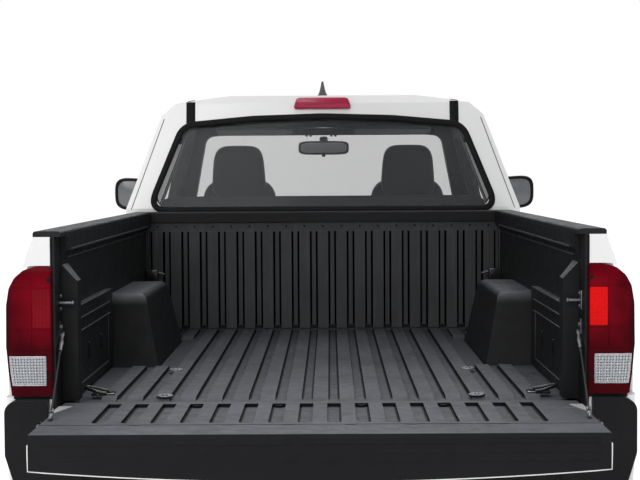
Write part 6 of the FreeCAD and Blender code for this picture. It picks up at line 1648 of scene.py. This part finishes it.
bay.block((0.0, 2.5575, 0.7375), (0.385, 0.0275, 0.2175), 0.006, mat=2)
# Painted shade: dark strips stand for the gaps in the radiator's core
for k in range(24):
    bay.block((-0.355 + k * 0.0305, 2.529, 0.745), (0.005, 0.003, 0.185), 0.0, mat=3)
shroud = ((-0.030, 0.205), (0.0, 0.212), (0.0, 0.190), (-0.030, 0.190))
bay.lathe(shroud, (0.0, 2.520, 0.740), "Y", 40, closed=True)
for (inner_x, inner_z), (outer_x, outer_z) in zip(circle(0.030, 7), circle(0.180, 7, lag=0.3)):
    bay.tube([(inner_x, 2.500, 0.740 + inner_z), (outer_x, 2.505, 0.740 + outer_z)], [0.014, 0.034], flat=0.2)
for hose in ([(0.20, 2.52, 0.90), (0.22, 2.44, 0.93), (0.18, 2.34, 0.93), (0.10, 2.28, 0.90)],
             [(-0.25, 2.52, 0.62), (-0.26, 2.42, 0.64), (-0.20, 2.33, 0.66)]):
    bay.tube(hose, 0.021, 14, mat=1)
for x, y, size in ((0.53, 1.72, 0.055), (-0.50, 1.80, 0.045)):
    bay.block((x, y, 0.9075), (size, size, 0.0475), 0.014, 3, mat=5)
    bay.head((x, y, 0.954), "Z", 0.024, 0.020, 0.016, 0.018, 18)
bay.block((0.50, 1.94, 0.9225), (0.08, 0.10, 0.0425), 0.010, 3)
bay.done("engine_bay", "chassis", "cabin", "gloss", "cast", "shadow", "glow_bright", "lamp_white",
         slot="cabin_plastic", smooth=45)

# Ground, light and world

floor_mesh = bpy.data.meshes.new("studio_floor")
made = bmesh.new()
bmesh.ops.create_grid(made, x_segments=1, y_segments=1, size=60.0)
made.to_mesh(floor_mesh)
made.free()
ground = Nodes("studio_floor")
pale = ground.ramp(ground.noise(2, 3), [(0.3, (0.88, 0.88, 0.88)), (0.7, (0.91, 0.91, 0.91))])
floor_mesh.materials.append(ground.done(pale, 0.9, Emission_Color=(1.0, 1.0, 1.0), Emission_Strength=0.16,
                                        Specular_IOR_Level=0.0))
floor_object = bpy.data.objects.new("studio_floor", floor_mesh)
SCENE.collection.objects.link(floor_object)

# The camera sees a white world; everything else is lit by a dimmer, bluer one

world = bpy.data.worlds.new("studio")
SCENE.world = world
world.use_nodes = True
tree = world.node_tree
seen = tree.nodes["Background"]
seen.inputs[0].default_value = (1.0, 1.0, 1.0, 1.0)
seen.inputs[1].default_value = 1.0
lighting = tree.nodes.new("ShaderNodeBackground")
lighting.inputs[0].default_value = (0.93, 0.965, 1.0, 1.0)
lighting.inputs[1].default_value = 0.5
chooser = tree.nodes.new("ShaderNodeMixShader")
path_kind = tree.nodes.new("ShaderNodeLightPath")
for source, target in ((path_kind.outputs["Is Camera Ray"], chooser.inputs[0]),
                       (lighting.outputs[0], chooser.inputs[1]), (seen.outputs[0], chooser.inputs[2]),
                       (chooser.outputs[0], tree.nodes["World Output"].inputs[0])):
    tree.links.new(source, target)


def light(name, kind, energy, direction):
    """A lamp that shines in a direction; gives the object and its settings."""
    data = bpy.data.lights.new(name, kind)
    data.energy = energy
    made = bpy.data.objects.new(name, data)
    made.rotation_euler = Vector(direction).to_track_quat("-Z", "Y").to_euler()
    SCENE.collection.objects.link(made)
    return made, data


def area_light(name, at, target, width, depth, power):
    made, data = light(name, "AREA", power, Vector(target) - Vector(at))
    made.location = at
    data.shape = "RECTANGLE"
    data.size, data.size_y = width, depth


_, overhead = light("overhead_soft", "SUN", 1.76, (0.0, -0.1, -1.0))
overhead.angle = math.radians(70)
area_light("rear_key", (-2.5, -8.5, 4.6), (0.0, -1.0, 1.1), 4.5, 3.0, 185)
area_light("front_top", (0.0, 4.2, 4.4), (0.0, 1.0, 0.9), 5.0, 2.0, 60)
SCENE.view_settings.view_transform = "Standard"
